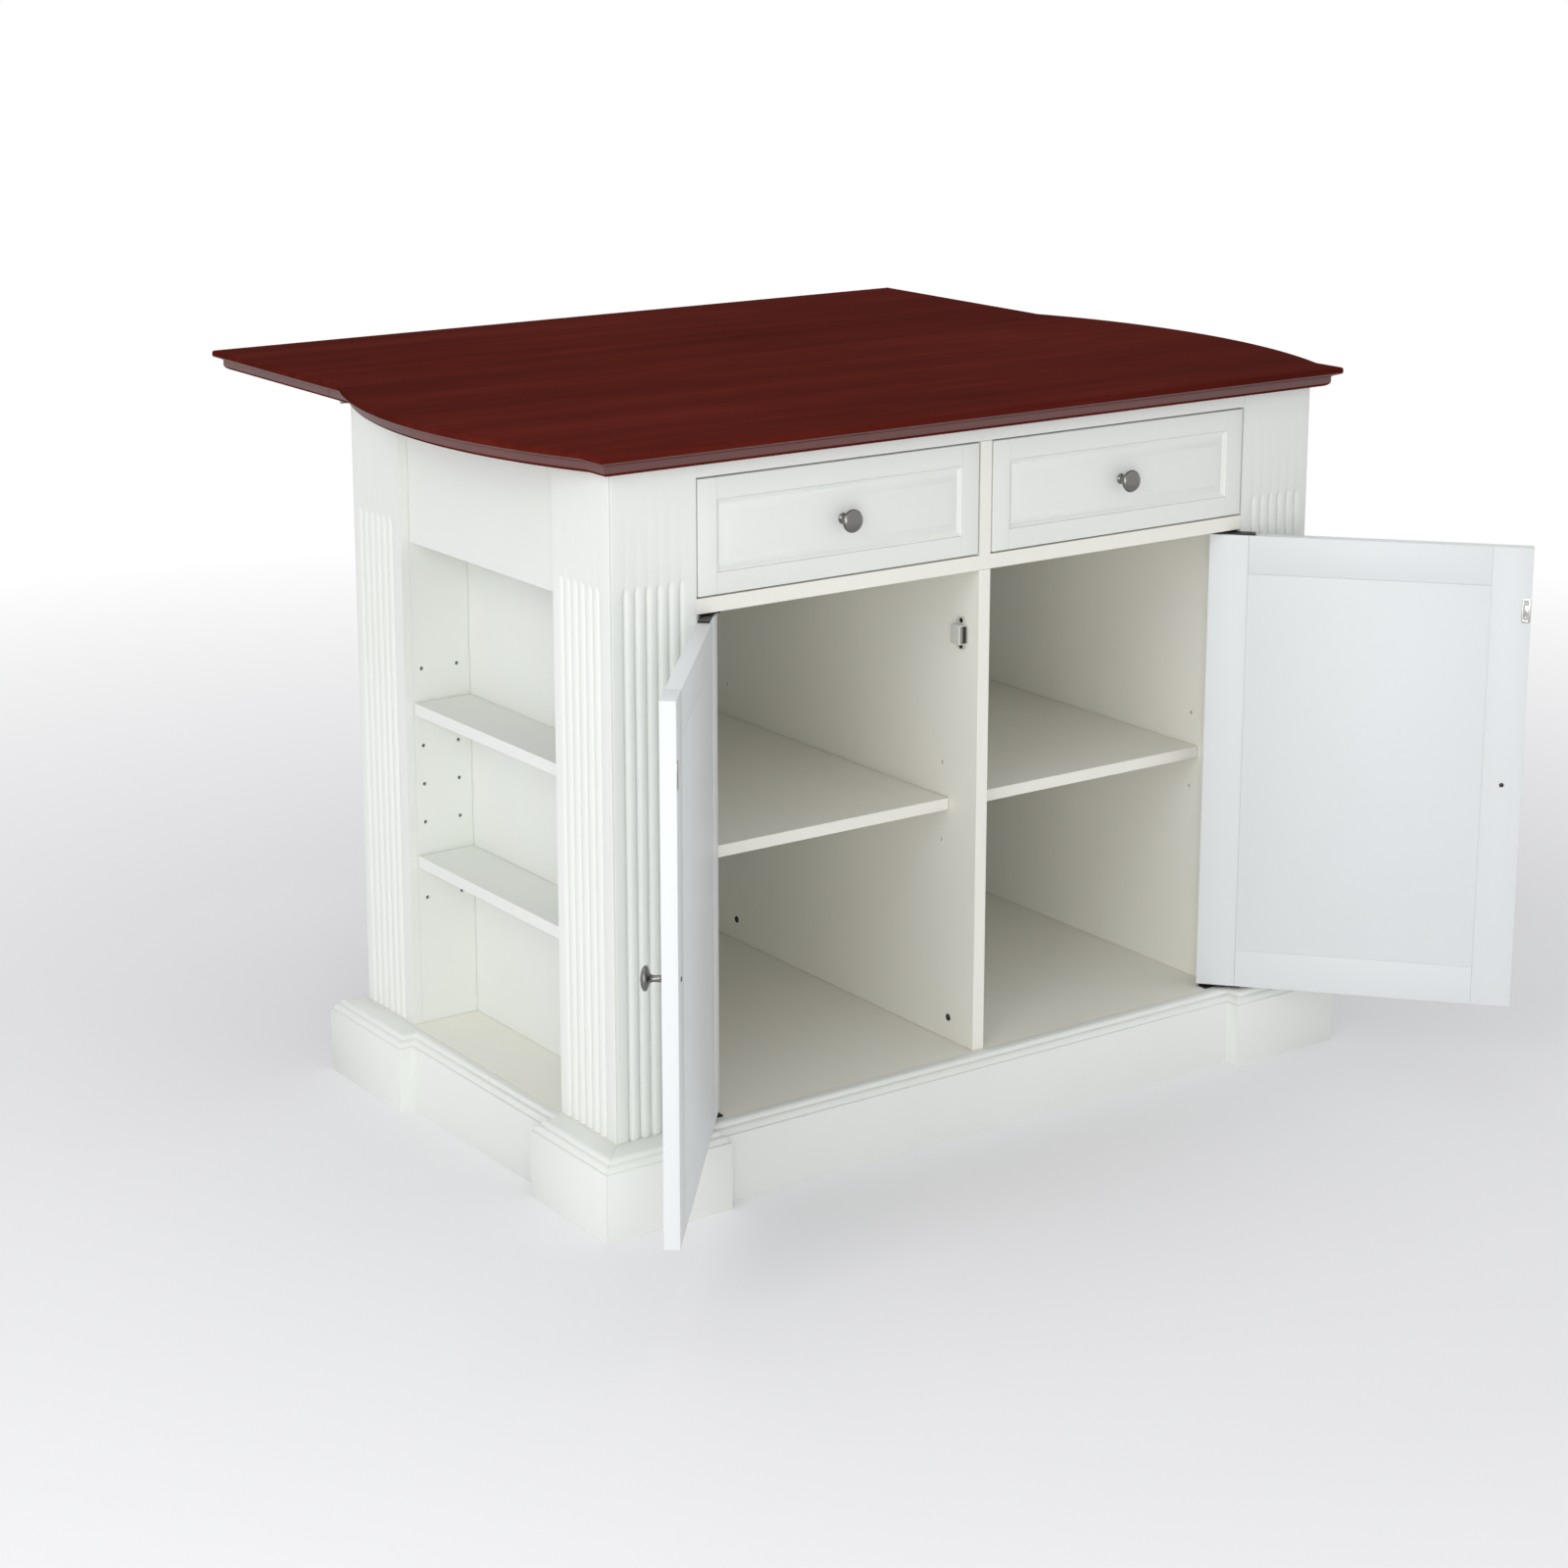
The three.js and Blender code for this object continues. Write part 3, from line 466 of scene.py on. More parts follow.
plinth_boards = {
    "front": [(front_slope, -1, plinth_low.y, 1), (front_slope, 1, plinth_low.y, 1)],
    "back": [(back_slope, -1, plinth_high.y, -1), (back_slope, 1, plinth_high.y, -1)],
    "right": [(front_slope, 1, plinth_low.y, -1), (back_slope, 1, plinth_high.y, 1)],
    "left": [(front_slope, -1, plinth_low.y, -1), (back_slope, -1, plinth_high.y, 1)],
}
for side, mitres in plinth_boards.items():
    board = copy_of(ring, f"plinth_board_{side}")
    for slope, sign_x, corner_y, toward_y in mitres:
        away = mitre_normal(slope, sign_x, toward_y)
        corner = Vector((sign_x * plinth_side, corner_y, 0)) - away * hair
        slice_at(board, [corner], away, clear_outer=True, use_fill=True)
    ease(board, 0.5 * millimetre, angle=60)
    fit(board, case_white, "cabinet", "white_paint", f"plinth_{side}")
bpy.data.objects.remove(ring)


# ----------------------------------------------------------------- case floor and rail
# The case floor is one painted panel let into the plinth, and the centre rail under it
# is a plain length of pale board, glued between the plinth's front and back.
inside_white = satin_paint(
    "inside_white_paint", (0.87, 0.86, 0.785), (0.845, 0.83, 0.755), roughness=0.5
)


def finish_board(node, material, width=0.5 * millimetre):
    """Keeps a board as it comes from the frame, with eased arrises and its material."""
    board = frame["nodes"][node]
    board.data.materials.clear()
    board.data.materials.append(material)
    weld = board.modifiers.new("weld", "WELD")
    weld.merge_threshold = 0.00001
    arris = board.modifiers.new("arris", "BEVEL")
    arris.width = width
    arris.segments = 2
    arris.limit_method = "ANGLE"
    arris.angle_limit = math.radians(32)
    return board


def blended(tree, first, second, share):
    """Two patterns as one, with this share of the second."""
    mix = tree.nodes.new("ShaderNodeMix")
    mix.data_type = "FLOAT"
    mix.inputs["Factor"].default_value = share
    tree.links.new(first, mix.inputs["A"])
    tree.links.new(second, mix.inputs["B"])
    return mix.outputs["Result"]


def sawn_board(name, light, dark, stretch=(1, 1, 1)):
    """Clear-sealed pale wood with long grain streaks and pores."""
    material, tree, wood, place = fresh_finish(name)
    grain = stretched(tree, place, stretch)
    rings = cloud(tree, grain, 38, detail=6, distortion=0.6)
    figure = blended(tree, rings, cloud(tree, grain, 420), 0.3)
    toned(tree, figure, [(0.36, dark), (0.62, light)], wood)
    raised(tree, figure, wood, 0.2, 0.0004)
    wood.inputs["Roughness"].default_value = 0.55
    return material


pale_board = sawn_board("pale_board", (0.66, 0.52, 0.34), (0.48, 0.35, 0.2), (1, 0.06, 1))
finish_board("bottom_panel", inside_white)
finish_board("plinth_centre_rail", pale_board)


# ----------------------------------------------------------------------- corner posts
# Each post is two painted boards, mitred and glued at the corner and eased beside the
# joint. Six quirks run up each face and leave round reeds between them, under a plain
# square block.
reed_top = 758 * millimetre
quirk_deep = 3.7 * millimetre
board_thick = 12 * millimetre
quirks = 6
glue_line = 0.08 * millimetre
corner_round = 2.4 * millimetre
# Each face: the plain margin beside its first quirk, and the pitch of the quirks.
post_faces = {
    "front": (19.6 * millimetre, 15.07 * millimetre),
    "front_side": (26.5 * millimetre, 15.5 * millimetre),
    "rear": (19.6 * millimetre, 15.07 * millimetre),
    "rear_side": (20 * millimetre, 15.5 * millimetre),
}
# How far from the middle of a quirk, and what share of its depth is reached there.
quirk_section = [
    (0, 1.0), (0.5, 0.96), (1.0, 0.74), (1.8, 0.5), (3.0, 0.27), (4.5, 0.11), (6.2, 0.025),
]
# Heights near the top end of a quirk, below its end, and the share of the depth there.
quirk_end = [(14, 1.0), (10, 0.93), (7, 0.74), (4.5, 0.48), (2.2, 0.2), (0, 0.0)]


def reeded_board(name, low, high, axis, face, margin_from, margin, pitch):
    """A board whose face (a plane across the other axis) carries the six quirks."""
    board = block(name, low, high)
    across = Vector((1, 0, 0)) if axis == 0 else Vector((0, 1, 0))
    other = 1 - axis
    toward = 1 if margin_from == low[axis] else -1
    middles = [margin_from + toward * (margin + i * pitch) for i in range(quirks)]
    cuts = []
    for middle in middles:
        for out, _ in quirk_section:
            for way in ((0,) if out == 0 else (-1, 1)):
                cuts.append(middle + way * out * millimetre)
    slice_at(board, [across * c for c in cuts], across)
    levels = [reed_top - drop * millimetre for drop, _ in quirk_end]
    slice_at(board, [(0, 0, z) for z in levels], (0, 0, 1))
    into = 1 if face < (low[other] + high[other]) / 2 else -1
    for out, share in quirk_section:
        rows = [(-1, reed_top - quirk_end[0][0] * millimetre, 1.0)]
        rows += [(levels[i], levels[i], quirk_end[i][1]) for i in range(1, len(levels) - 1)]
        for row_low, row_high, depth in rows:
            pick(board, "VERT", lambda v: near(v[other], face)
                 and row_low - 0.0001 < v.z < row_high + 0.0001
                 and any(near(abs(v[axis] - m), out * millimetre, 0.00004) for m in middles))
            shift = [0, 0, 0]
            shift[other] = into * quirk_deep * share * depth
            bpy.ops.transform.translate(value=shift)
    bpy.ops.object.mode_set(mode="OBJECT")
    return board


def round_edges(piece, wanted, width, segments):
    """Bevels the edges whose two ends are wanted."""
    pick(piece, "EDGE", wanted)
    bpy.ops.mesh.bevel(offset=width, segments=segments, affect="EDGES")
    bpy.ops.object.mode_set(mode="OBJECT")


def mirror_of(piece, name):
    """A copy handed the other way, across the middle of the island."""
    twin = copy_of(piece, name)
    twin.scale.x = -1
    settle()
    bpy.ops.object.mode_set(mode="EDIT")
    face_out()
    bpy.ops.object.mode_set(mode="OBJECT")
    return twin


for end in ("front", "rear"):
    low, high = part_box(f"corner_post_{end}_right")
    outer_y, inner_y = (low.y, high.y) if end == "front" else (high.y, low.y)
    inward = 1 if end == "front" else -1
    faces = sorted((outer_y, outer_y + inward * board_thick))
    front_board = reeded_board(
        f"post_{end}_face_board_right",
        (low.x, faces[0], low.z), (high.x, faces[1], high.z),
        0, outer_y, high.x, *post_faces[end],
    )
    sides = sorted((outer_y, inner_y))
    side_board = reeded_board(
        f"post_{end}_side_board_right",
        (high.x - board_thick, sides[0], low.z), (high.x, sides[1], high.z),
        1, high.x, outer_y, *post_faces[f"{end}_side"],
    )
    across_mitre = Vector((1, inward, 0))
    corner = Vector((high.x, outer_y, 0))
    seam = glue_line * across_mitre
    slice_at(front_board, [corner - seam], across_mitre, clear_outer=True, use_fill=True)
    slice_at(side_board, [corner + seam], across_mitre, clear_inner=True, use_fill=True)
    for board in (front_board, side_board):
        round_edges(board, lambda a, b: near(a.x, corner.x) and near(b.x, corner.x)
                    and near(a.y, corner.y) and near(b.y, corner.y), corner_round, 4)
        smooth(50)
        left = mirror_of(board, board.name.replace("right", "left"))
        smooth(50)
        fit(board, case_white, "cabinet", "white_paint", f"corner_post_{end}_right")
        fit(left, case_white, "cabinet", "white_paint", f"corner_post_{end}_left")


# ------------------------------------------------------------------- panels and deck
# Painted boards glued and cammed together: the divider, the cupboard sides, the back
# panel, the backs and linings of the end bays, the drawer deck and the frame under the
# top.
for node in (
    "divider_panel", "drawer_deck", "end_partition_left", "end_partition_right",
):
    finish_board(node, inside_white)
for node in (
    "apron_frame", "back_panel", "bay_back_left", "bay_back_right",
    "bay_cheek_front_left", "bay_cheek_front_right",
    "bay_cheek_rear_left", "bay_cheek_rear_right",
):
    finish_board(node, case_white, 0.4 * millimetre)

# A square batten in each rear corner, glued behind the post for the back panel's edge.
batten_half = 8 * millimetre
panel_low, panel_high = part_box("back_panel")
for side, sign in (("left", -1), ("right", 1)):
    post_low, post_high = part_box(f"corner_post_rear_{side}")
    inner_x = post_low.x if sign > 0 else post_high.x
    batten = block(
        f"back_batten_{side}",
        (inner_x - batten_half, panel_high.y + hair, panel_low.z),
        (inner_x + batten_half, post_high.y - board_thick - hair, panel_high.z),
    )
    ease(batten, 0.5 * millimetre)
    fit(batten, case_white, "cabinet", "white_paint")

# Painted shade: a dark brown disc at the bottom of each shelf pin hole, for its shadow.
hole_shade_and_cam_brown = sawn_board("hole_shade_and_cam_brown", (0.05, 0.035, 0.025), (0.02, 0.014, 0.01))


def disc(name, radius, deep, middle, axis="z", vertices=24):
    """A short cylinder primitive with its axis along x, y or z."""
    start()
    turn = {"x": (0, math.pi / 2, 0), "y": (math.pi / 2, 0, 0), "z": (0, 0, 0)}[axis]
    bpy.ops.mesh.primitive_cylinder_add(
        vertices=vertices, radius=radius, depth=deep, location=middle, rotation=turn
    )
    piece = bpy.context.object
    piece.name = name
    settle()
    return piece


def joined(pieces, name):
    start(pieces[0])
    for piece in pieces:
        piece.select_set(True)
    if len(pieces) > 1:
        bpy.ops.object.join()
    pieces[0].name = name
    return pieces[0]


pin_hole_radius = 2.45 * millimetre


# Each disc of painted shade fills a pin hole's bore near its bottom.
def pin_hole(middle, axis, deep):
    return disc("hole", pin_hole_radius, deep, middle, axis, 16)


pin_pitch = 50 * millimetre
hole_deep = 5.5 * millimetre
plug = 2.5 * millimetre
through_plug = 6 * millimetre
bay_pin_x = (459 * millimetre, 509 * millimetre)
cupboard_pin_y = (-228 * millimetre, 247 * millimetre)
# The rows of holes in an end bay from the lowest; rows 1 and 5 hold the shelves' pins.
free_rows = (0, 2, 3, 4, 6)
for side, sign in (("left", -1), ("right", 1)):
    bay_low, bay_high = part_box(f"bay_shelf_lower_{side}")
    lowest = (bay_low.z + bay_high.z) / 2 - pin_pitch
    front_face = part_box(f"bay_cheek_front_{side}")[1].y
    rear_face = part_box(f"bay_cheek_rear_{side}")[0].y
    bottoms = []
    for x in bay_pin_x:
        for row in free_rows:
            z = lowest + row * pin_pitch
            bottoms.append(pin_hole((sign * x, front_face - hole_deep, z), "y", plug))
            bottoms.append(pin_hole((sign * x, rear_face + hole_deep, z), "y", plug))
    holes = joined(bottoms, f"bay_pin_hole_bottoms_{side}")
    fit(holes, hole_shade_and_cam_brown, "cabinet", "raw_board")

    shelf_low, shelf_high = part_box(f"cupboard_shelf_{side}")
    middle = (shelf_low.z + shelf_high.z) / 2
    hole_heights = (middle - pin_pitch, middle + pin_pitch)
    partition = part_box(f"end_partition_{side}")
    face = partition[0].x if sign > 0 else partition[1].x
    bottoms = [
        pin_hole((face + sign * hole_deep, y, z), "x", plug)
        for y in cupboard_pin_y for z in hole_heights
    ]
    holes = joined(bottoms, f"cupboard_pin_hole_bottoms_{side}")
    fit(holes, hole_shade_and_cam_brown, "cabinet", "raw_board")

bottoms = [
    pin_hole((0, y, z), "x", through_plug) for y in cupboard_pin_y for z in hole_heights
]
holes = joined(bottoms, "divider_pin_hole_bottoms")
fit(holes, hole_shade_and_cam_brown, "cabinet", "raw_board")

# The two cam fittings that hold the divider to the floor, turned with a cross driver.
divider_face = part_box("divider_panel")[0].x
cam_height = 127.8 * millimetre
cam_y = (-247 * millimetre, 225 * millimetre)
cam_radius = 4.6 * millimetre
cam_deep = 0.9 * millimetre
cam_sunk = 0.05 * millimetre
slot_long = 3.2 * millimetre
slot_wide = 0.6 * millimetre
cams = []
for y in cam_y:
    middle = (divider_face - cam_sunk, y, cam_height)
    cam = disc("cam", cam_radius, cam_deep, middle, "x", 28)
    for half_y, half_z in ((slot_long, slot_wide), (slot_wide, slot_long)):
        carve(cam, block(
            "driver_slot",
            (-1, y - half_y, cam_height - half_z),
            (divider_face, y + half_y, cam_height + half_z),
        ))
    ease(cam, 0.12 * millimetre)
    cams.append(cam)
fit(joined(cams, "divider_cam_fittings"), hole_shade_and_cam_brown, "cabinet", "dark_steel")


# --------------------------------------------------------------------- top and leaf
# The top is edge-glued hardwood, stained a dark red brown under satin lacquer. Its edge
# is a small fillet and a cove over a bead. The seam to the leaf is cut square and eased.
def stained_wood(name, deep, mid, light, moulding):
    """Dark stain over straight grain: slow bands, fine streaks and pores, lacquered, and a band of
    painted sheen set by height.
    """
    material, tree, wood, place = fresh_finish(name)
    grain = stretched(tree, place, (0.05, 1, 1))
    bands = cloud(tree, grain, 17, detail=5, distortion=0.8)
    streaks = cloud(tree, grain, 150, detail=4)
    figure = blended(tree, bands, streaks, 0.42)
    figure = blended(tree, figure, cloud(tree, place, 3.0), 0.25)
    toned(tree, figure, [(0.34, deep), (0.5, mid), (0.66, light)], wood)
    raised(tree, cloud(tree, grain, 700), wood, 0.12, 0.0003)
    tree.links.new(spread(tree, streaks, 0.42, 0.56), wood.inputs["Roughness"])
    # Painted reflection and shade: the shine is on only between these heights, over the cove
    # and bead, and the slab's faces over it and the underside are left dull to look shaded.
    height = tree.nodes.new("ShaderNodeSeparateXYZ")
    tree.links.new(place, height.inputs["Vector"])
    fading = 0.4 * millimetre
    over, under = (
        spread(tree, height.outputs["Z"], *ends, (level - fading, level + fading))
        for level, ends in zip(moulding, ((0, 1), (1, 0)))
    )
    painted_sheen = combined(tree, "MULTIPLY", over, under)
    tree.links.new(painted_sheen, wood.inputs["Specular IOR Level"])
    wood.inputs["Coat Weight"].default_value = 0.014
    wood.inputs["Coat Roughness"].default_value = 0.25
    return material


top_low, top_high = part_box("main_top")
leaf_low, leaf_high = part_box("drop_leaf")
# The heights of the band of painted sheen on the edge moulding.
sheen_band_from = top_high.z - 20.8 * millimetre
sheen_band_to = top_high.z - 7.2 * millimetre
mahogany = stained_wood(
    "mahogany_stain", (0.061, 0.0078, 0.005), (0.087, 0.0106, 0.0068),
    (0.116, 0.0152, 0.0098), (sheen_band_from, sheen_band_to),
)
ear_x = leaf_high.x
bow = top_high.x - ear_x
ear_long = 47 * millimetre
middle_y = (top_low.y + top_high.y) / 2
half_chord = (top_high.y - top_low.y) / 2 - ear_long
bow_radius = (half_chord ** 2 + bow ** 2) / (2 * bow)
spare = 60 * millimetre

# Steps in from the widest outline, in millimetres: (in, along), above and below it.
arris_steps = [(0.1, 0.8), (0.3, 0.8), (0.6, 0.7), (1.0, 0.5), (1.2, 0.25)]
cove_steps = [
    (0.3, 0.8), (0.9, 0.8), (1.6, 0.7), (2.3, 0.8), (2.4, 0.9), (2.1, 0.9), (1.4, 0.8), (0.5, 0.7),
]
bead_down_steps = [(0.15, 1.0), (0.45, 1.0), (0.8, 1.1), (1.2, 1.1), (1.6, 1.0), (1.9, 0.8)]
widest_from = 3.05 * millimetre
widest_to = 7.0 * millimetre
bead_inset = 10.7 * millimetre
bead_from = 12.4 * millimetre
bead_to = 19.0 * millimetre
seam_arris = 0.8 * millimetre


def moulded(piece, up, up_steps, down_steps):
    """Grows a flat outline up and down, stepping in by the moulding as it goes."""
    bpy.ops.object.mode_set(mode="EDIT")
    bpy.ops.mesh.select_all(action="SELECT")
    extrude((0, 0, up))
    step_in(up_steps)
    face_out()
    pick(piece, "FACE", lambda middle, normal: normal.z < -0.9)
    step_in(down_steps)
    bpy.ops.object.mode_set(mode="OBJECT")


def bowed_outline(name, inset, z):
    """The top on plan: arcs bowed out between two square ears, run on past the seam."""
    start()
    bpy.ops.mesh.primitive_circle_add(
        vertices=460, radius=bow_radius, fill_type="NGON",
        location=(top_high.x - bow_radius, middle_y, z),
    )
    outline = bpy.context.object
    outline.name = name
    settle()
    slice_at(outline, [(0, middle_y - half_chord, 0)], (0, -1, 0), clear_outer=True)
    slice_at(outline, [(0, middle_y + half_chord, 0)], (0, 1, 0), clear_outer=True)
    slice_at(outline, [(0, 0, 0)], (-1, 0, 0), clear_outer=True)
    for y, run in ((middle_y - half_chord, -ear_long), (middle_y + half_chord, ear_long + spare)):
        pick(outline, "EDGE", lambda a, b: near(a.y, y, 0.00002) and near(b.y, y, 0.00002))
        extrude((0, run, 0))
        bpy.ops.object.mode_set(mode="OBJECT")
    start(outline)
    other_half = outline.modifiers.new("other_half", "MIRROR")
    other_half.merge_threshold = 0.00001
    bpy.ops.object.modifier_apply(modifier=other_half.name)
    bpy.ops.object.mode_set(mode="EDIT")
    face_out()
    shrink(inset)
    return outline


def shrink(inset):
    """Brings the flat outline in hand in all round."""
    bpy.ops.object.mode_set(mode="EDIT")
    bpy.ops.mesh.select_mode(type="FACE")
    bpy.ops.mesh.select_all(action="SELECT")
    if inset:
        bpy.ops.mesh.inset(thickness=inset, depth=0, use_even_offset=True)
        bpy.ops.mesh.select_all(action="INVERT")
        bpy.ops.mesh.delete(type="FACE")
        bpy.ops.mesh.select_all(action="SELECT")
    bpy.ops.object.mode_set(mode="OBJECT")


def leaf_outline(name, inset, z):
    outline = sheet(name, (-ear_x, leaf_low.y - spare), (ear_x, leaf_high.y), z)
    shrink(inset)
    return outline


def slab(name, outline_of, seam_y, seam_normal):
    """The cove over the bead, each grown from its widest outline and cut at the seam."""
    upper = outline_of(name, 0, top_high.z - widest_to)
    moulded(upper, widest_to - widest_from, arris_steps, cove_steps)
    lower = outline_of(name + "_bead", bead_inset, top_high.z - bead_to)
    moulded(lower, bead_to - bead_from, [], bead_down_steps)
    for half in (upper, lower):
        slice_at(half, [(0, seam_y, 0)], seam_normal, clear_outer=True, use_fill=True)
    carve(upper, lower, "UNION")
    round_edges(upper, lambda a, b: near(a.y, seam_y) and near(b.y, seam_y)
                and near(a.z, top_high.z) and near(b.z, top_high.z), seam_arris, 2)
    smooth(34)
    return upper


worktop = slab("worktop", bowed_outline, top_high.y, (0, 1, 0))
fit(worktop, mahogany, "cabinet", "stained_wood", "main_top")
leaf = slab("leaf", leaf_outline, leaf_low.y, (0, -1, 0))
fit(leaf, mahogany, "leaf", "stained_wood", "drop_leaf")


# --------------------------------------------------------------------------- shelves
# Painted boards, two in the cupboards and two in each end bay. Each rests on four pins
# that are half let into its ends and half into the holes of the boards beside it.
for side in ("left", "right"):
    finish_board(f"cupboard_shelf_{side}", inside_white, 0.7 * millimetre)
    finish_board(f"bay_shelf_lower_{side}", case_white, 0.7 * millimetre)
    finish_board(f"bay_shelf_upper_{side}", case_white, 0.7 * millimetre)


# ---------------------------------------------------------------------------- drawers
# Painted fronts with a moulded sunk edge round a raised field, on open pale boxes. Each
# runs on the deck along one centre guide and has one turned knob.
def bright_metal(name, colour, roughness):
    """Plated metal with a faint brushing and fingerprints of uneven gloss."""
    material, tree, metal, place = fresh_finish(name)
    metal.inputs["Base Color"].default_value = (*colour, 1)
    metal.inputs["Metallic"].default_value = 1
    smear = cloud(tree, place, 160, detail=3)
    gloss = spread(tree, smear, roughness, roughness + 0.12)
    tree.links.new(gloss, metal.inputs["Roughness"])
    raised(tree, smear, metal, 0.04, 0.0003)
    return material


# Painted reflection: the nickel is set dark, for the dark room its polish reflects.
nickel = bright_metal("polished_nickel", (0.2, 0.195, 0.185), 0.15)

# Radius and distance out from the face, in millimetres.
knob_profile = [
    (6.4, 0.0), (6.6, 0.6), (6.2, 1.3), (4.9, 2.2), (4.2, 3.6), (3.9, 6.0), (3.8, 10.5),
    (4.2, 13.0), (5.6, 14.8), (8.6, 15.8), (11.6, 16.8), (13.4, 18.0), (14.0, 19.3),
    (13.9, 20.3), (13.0, 21.8), (11.0, 23.2), (8.0, 24.2), (4.0, 24.8),
]


def turned_knob(name, middle):
    """A knob turned on the front's axis: a disc grown outwards ring by ring."""
    start()
    radius = knob_profile[0][0] * millimetre
    bpy.ops.mesh.primitive_circle_add(
        vertices=40, radius=radius, fill_type="NGON", location=middle,
        rotation=(math.pi / 2, 0, 0),
    )
    knob = bpy.context.object
    knob.name = name
    settle()
    bpy.ops.object.mode_set(mode="EDIT")
    bpy.ops.mesh.select_all(action="SELECT")
    for before, after in zip(knob_profile, knob_profile[1:]):
        out = (after[1] - before[1]) * millimetre
        extrude((0, -out, 0))
        grow = after[0] / before[0]
        bpy.ops.transform.resize(value=(grow, 1, grow))
    face_out()
    bpy.ops.object.mode_set(mode="OBJECT")
    smooth(50)
    return knob


drawer_stile = 25.5 * millimetre
# From the frame's face in to the field: the quirk and ogee, the flat, the slope up.
drawer_moulding = (
    (0.5, -0.8), (0.8, -0.5), (1.5, -0.7), (1.5, -1.1), (0.6, -0.9), (1.6, -0.2),
    (0.4, 0.8), (4.6, 1.3), (4.4, 1.3), (0.5, 0.35), (0.5, 0.1),
)
for side, sign in (("left", -1), ("right", 1)):
    low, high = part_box(f"drawer_front_{side}")
    front = block(f"drawer_front_{side}", low, high)
    pick(front, "FACE", lambda middle, normal: normal.y < -0.9)
    bpy.ops.mesh.inset(thickness=drawer_stile, depth=0, use_even_offset=True)
    step_in(drawer_moulding)
    ease(front, 0.9 * millimetre, 3, 60)
    x0, x1 = low.x + drawer_stile, high.x - drawer_stile
    z0, z1 = low.z + drawer_stile, high.z - drawer_stile
    # Each piece of the front: the planes that part it from its neighbours.
    between_stiles = [((x0 + hair, 0, 0), (-1, 0, 0)), ((x1 - hair, 0, 0), (1, 0, 0))]
    for piece, planes in (
        ("left_stile", [((x0 - hair, 0, 0), (1, 0, 0))]),
        ("right_stile", [((x1 + hair, 0, 0), (-1, 0, 0))]),
        ("bottom_rail", [*between_stiles, ((0, 0, z0 - hair), (0, 0, 1))]),
        ("top_rail", [*between_stiles, ((0, 0, z1 + hair), (0, 0, -1))]),
        ("field", [*between_stiles, ((0, 0, z0 + hair), (0, 0, -1)),
                   ((0, 0, z1 - hair), (0, 0, 1))]),
    ):
        part = copy_of(front, f"drawer_{piece}_{side}")
        for place, away in planes:
            slice_at(part, [place], away, clear_outer=True, use_fill=True)
        smooth(32)
        fit(part, case_white, f"drawer_{side}", "white_paint", f"drawer_front_{side}")
    bpy.data.objects.remove(front)

    knob_low, knob_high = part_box(f"drawer_knob_{side}")
    middle = ((knob_low.x + knob_high.x) / 2, knob_high.y, (knob_low.z + knob_high.z) / 2)
    knob = turned_knob(f"drawer_pull_{side}", middle)
    fit(knob, nickel, f"drawer_{side}", "nickel", f"drawer_knob_{side}")
    finish_board(f"drawer_box_{side}", pale_board, 0.6 * millimetre)


# ------------------------------------------------------------------------------ doors
# Painted frames of two stiles and two rails round a panel that is flush inside and
# raised outside. They stand open, turned on pivots near their outer edges.
door_swing = {"left": 130, "right": 132}
stile_wide = 50 * millimetre
door_thick = 18 * millimetre
hinges = {j["child"]: Vector(j["pos_m"]) for j in frame["joints"] if "pos_m" in j}
door_white = satin_paint(
    "door_white_paint", (0.745, 0.77, 0.775), (0.725, 0.75, 0.75), (1, 1, 0.1)
)


def swung(piece, side):
    """Turns a piece made on the shut door to where the door stands open."""
    pivot = Matrix.Translation(hinges[f"door_{side}"])
    sign = 1 if side == "right" else -1
    turn = Matrix.Rotation(math.radians(sign * door_swing[side]), 4, "Z")
    start(piece)
    piece.matrix_world = pivot @ turn @ pivot.inverted()
    settle()
    return piece


dark_steel = bright_metal("dark_screw_steel", (0.055, 0.052, 0.05), 0.3)
zinc_steel = bright_metal("zinc_plated_steel", (0.42, 0.42, 0.41), 0.34)
bright_plate = bright_metal("bright_plated_steel", (0.50, 0.485, 0.455), 0.14)

# One screw head at the origin, facing up, with its cross recess.
head_radius = 3.3 * millimetre
head_high = 0.8 * millimetre
recess_long = 0.62 * head_radius
recess_wide = 0.15 * head_radius
screw_head = disc("screw_head", head_radius, head_high, (0, 0, head_high / 2))
round_edges(
    screw_head, lambda a, b: near(a.z, head_high) and near(b.z, head_high), head_high / 2, 3
)
for half_x, half_y in ((recess_long, recess_wide), (recess_wide, recess_long)):
    carve(screw_head, block(
        "driver_slot",
        (-half_x, -half_y, 0.3 * head_high), (half_x, half_y, 2 * head_high),
    ))
start(screw_head)
smooth(35)


def placed(piece, name, middle, toward, size=1.0):
    """A copy of a piece made at the origin, set down facing this way."""
    twin = copy_of(piece, name)
    turn = Vector(toward).to_track_quat("Z", "Y").to_matrix().to_4x4()
    twin.matrix_world = Matrix.Translation(middle) @ turn @ Matrix.Scale(size, 4)
    settle()
    return twin


panel_sunk = 1.5 * millimetre
# From the frame in to the field: the groove beside it, the slope up and the arris.
door_moulding = (
    (0.4, -0.2), (1.2, -4.6), (3.0, -0.4), (0.6, 0.5), (20.0, 2.4), (0.5, 0.9), (0.8, 0.2),
)
knob_height = 400 * millimetre
knob_sunk = 0.3 * millimetre
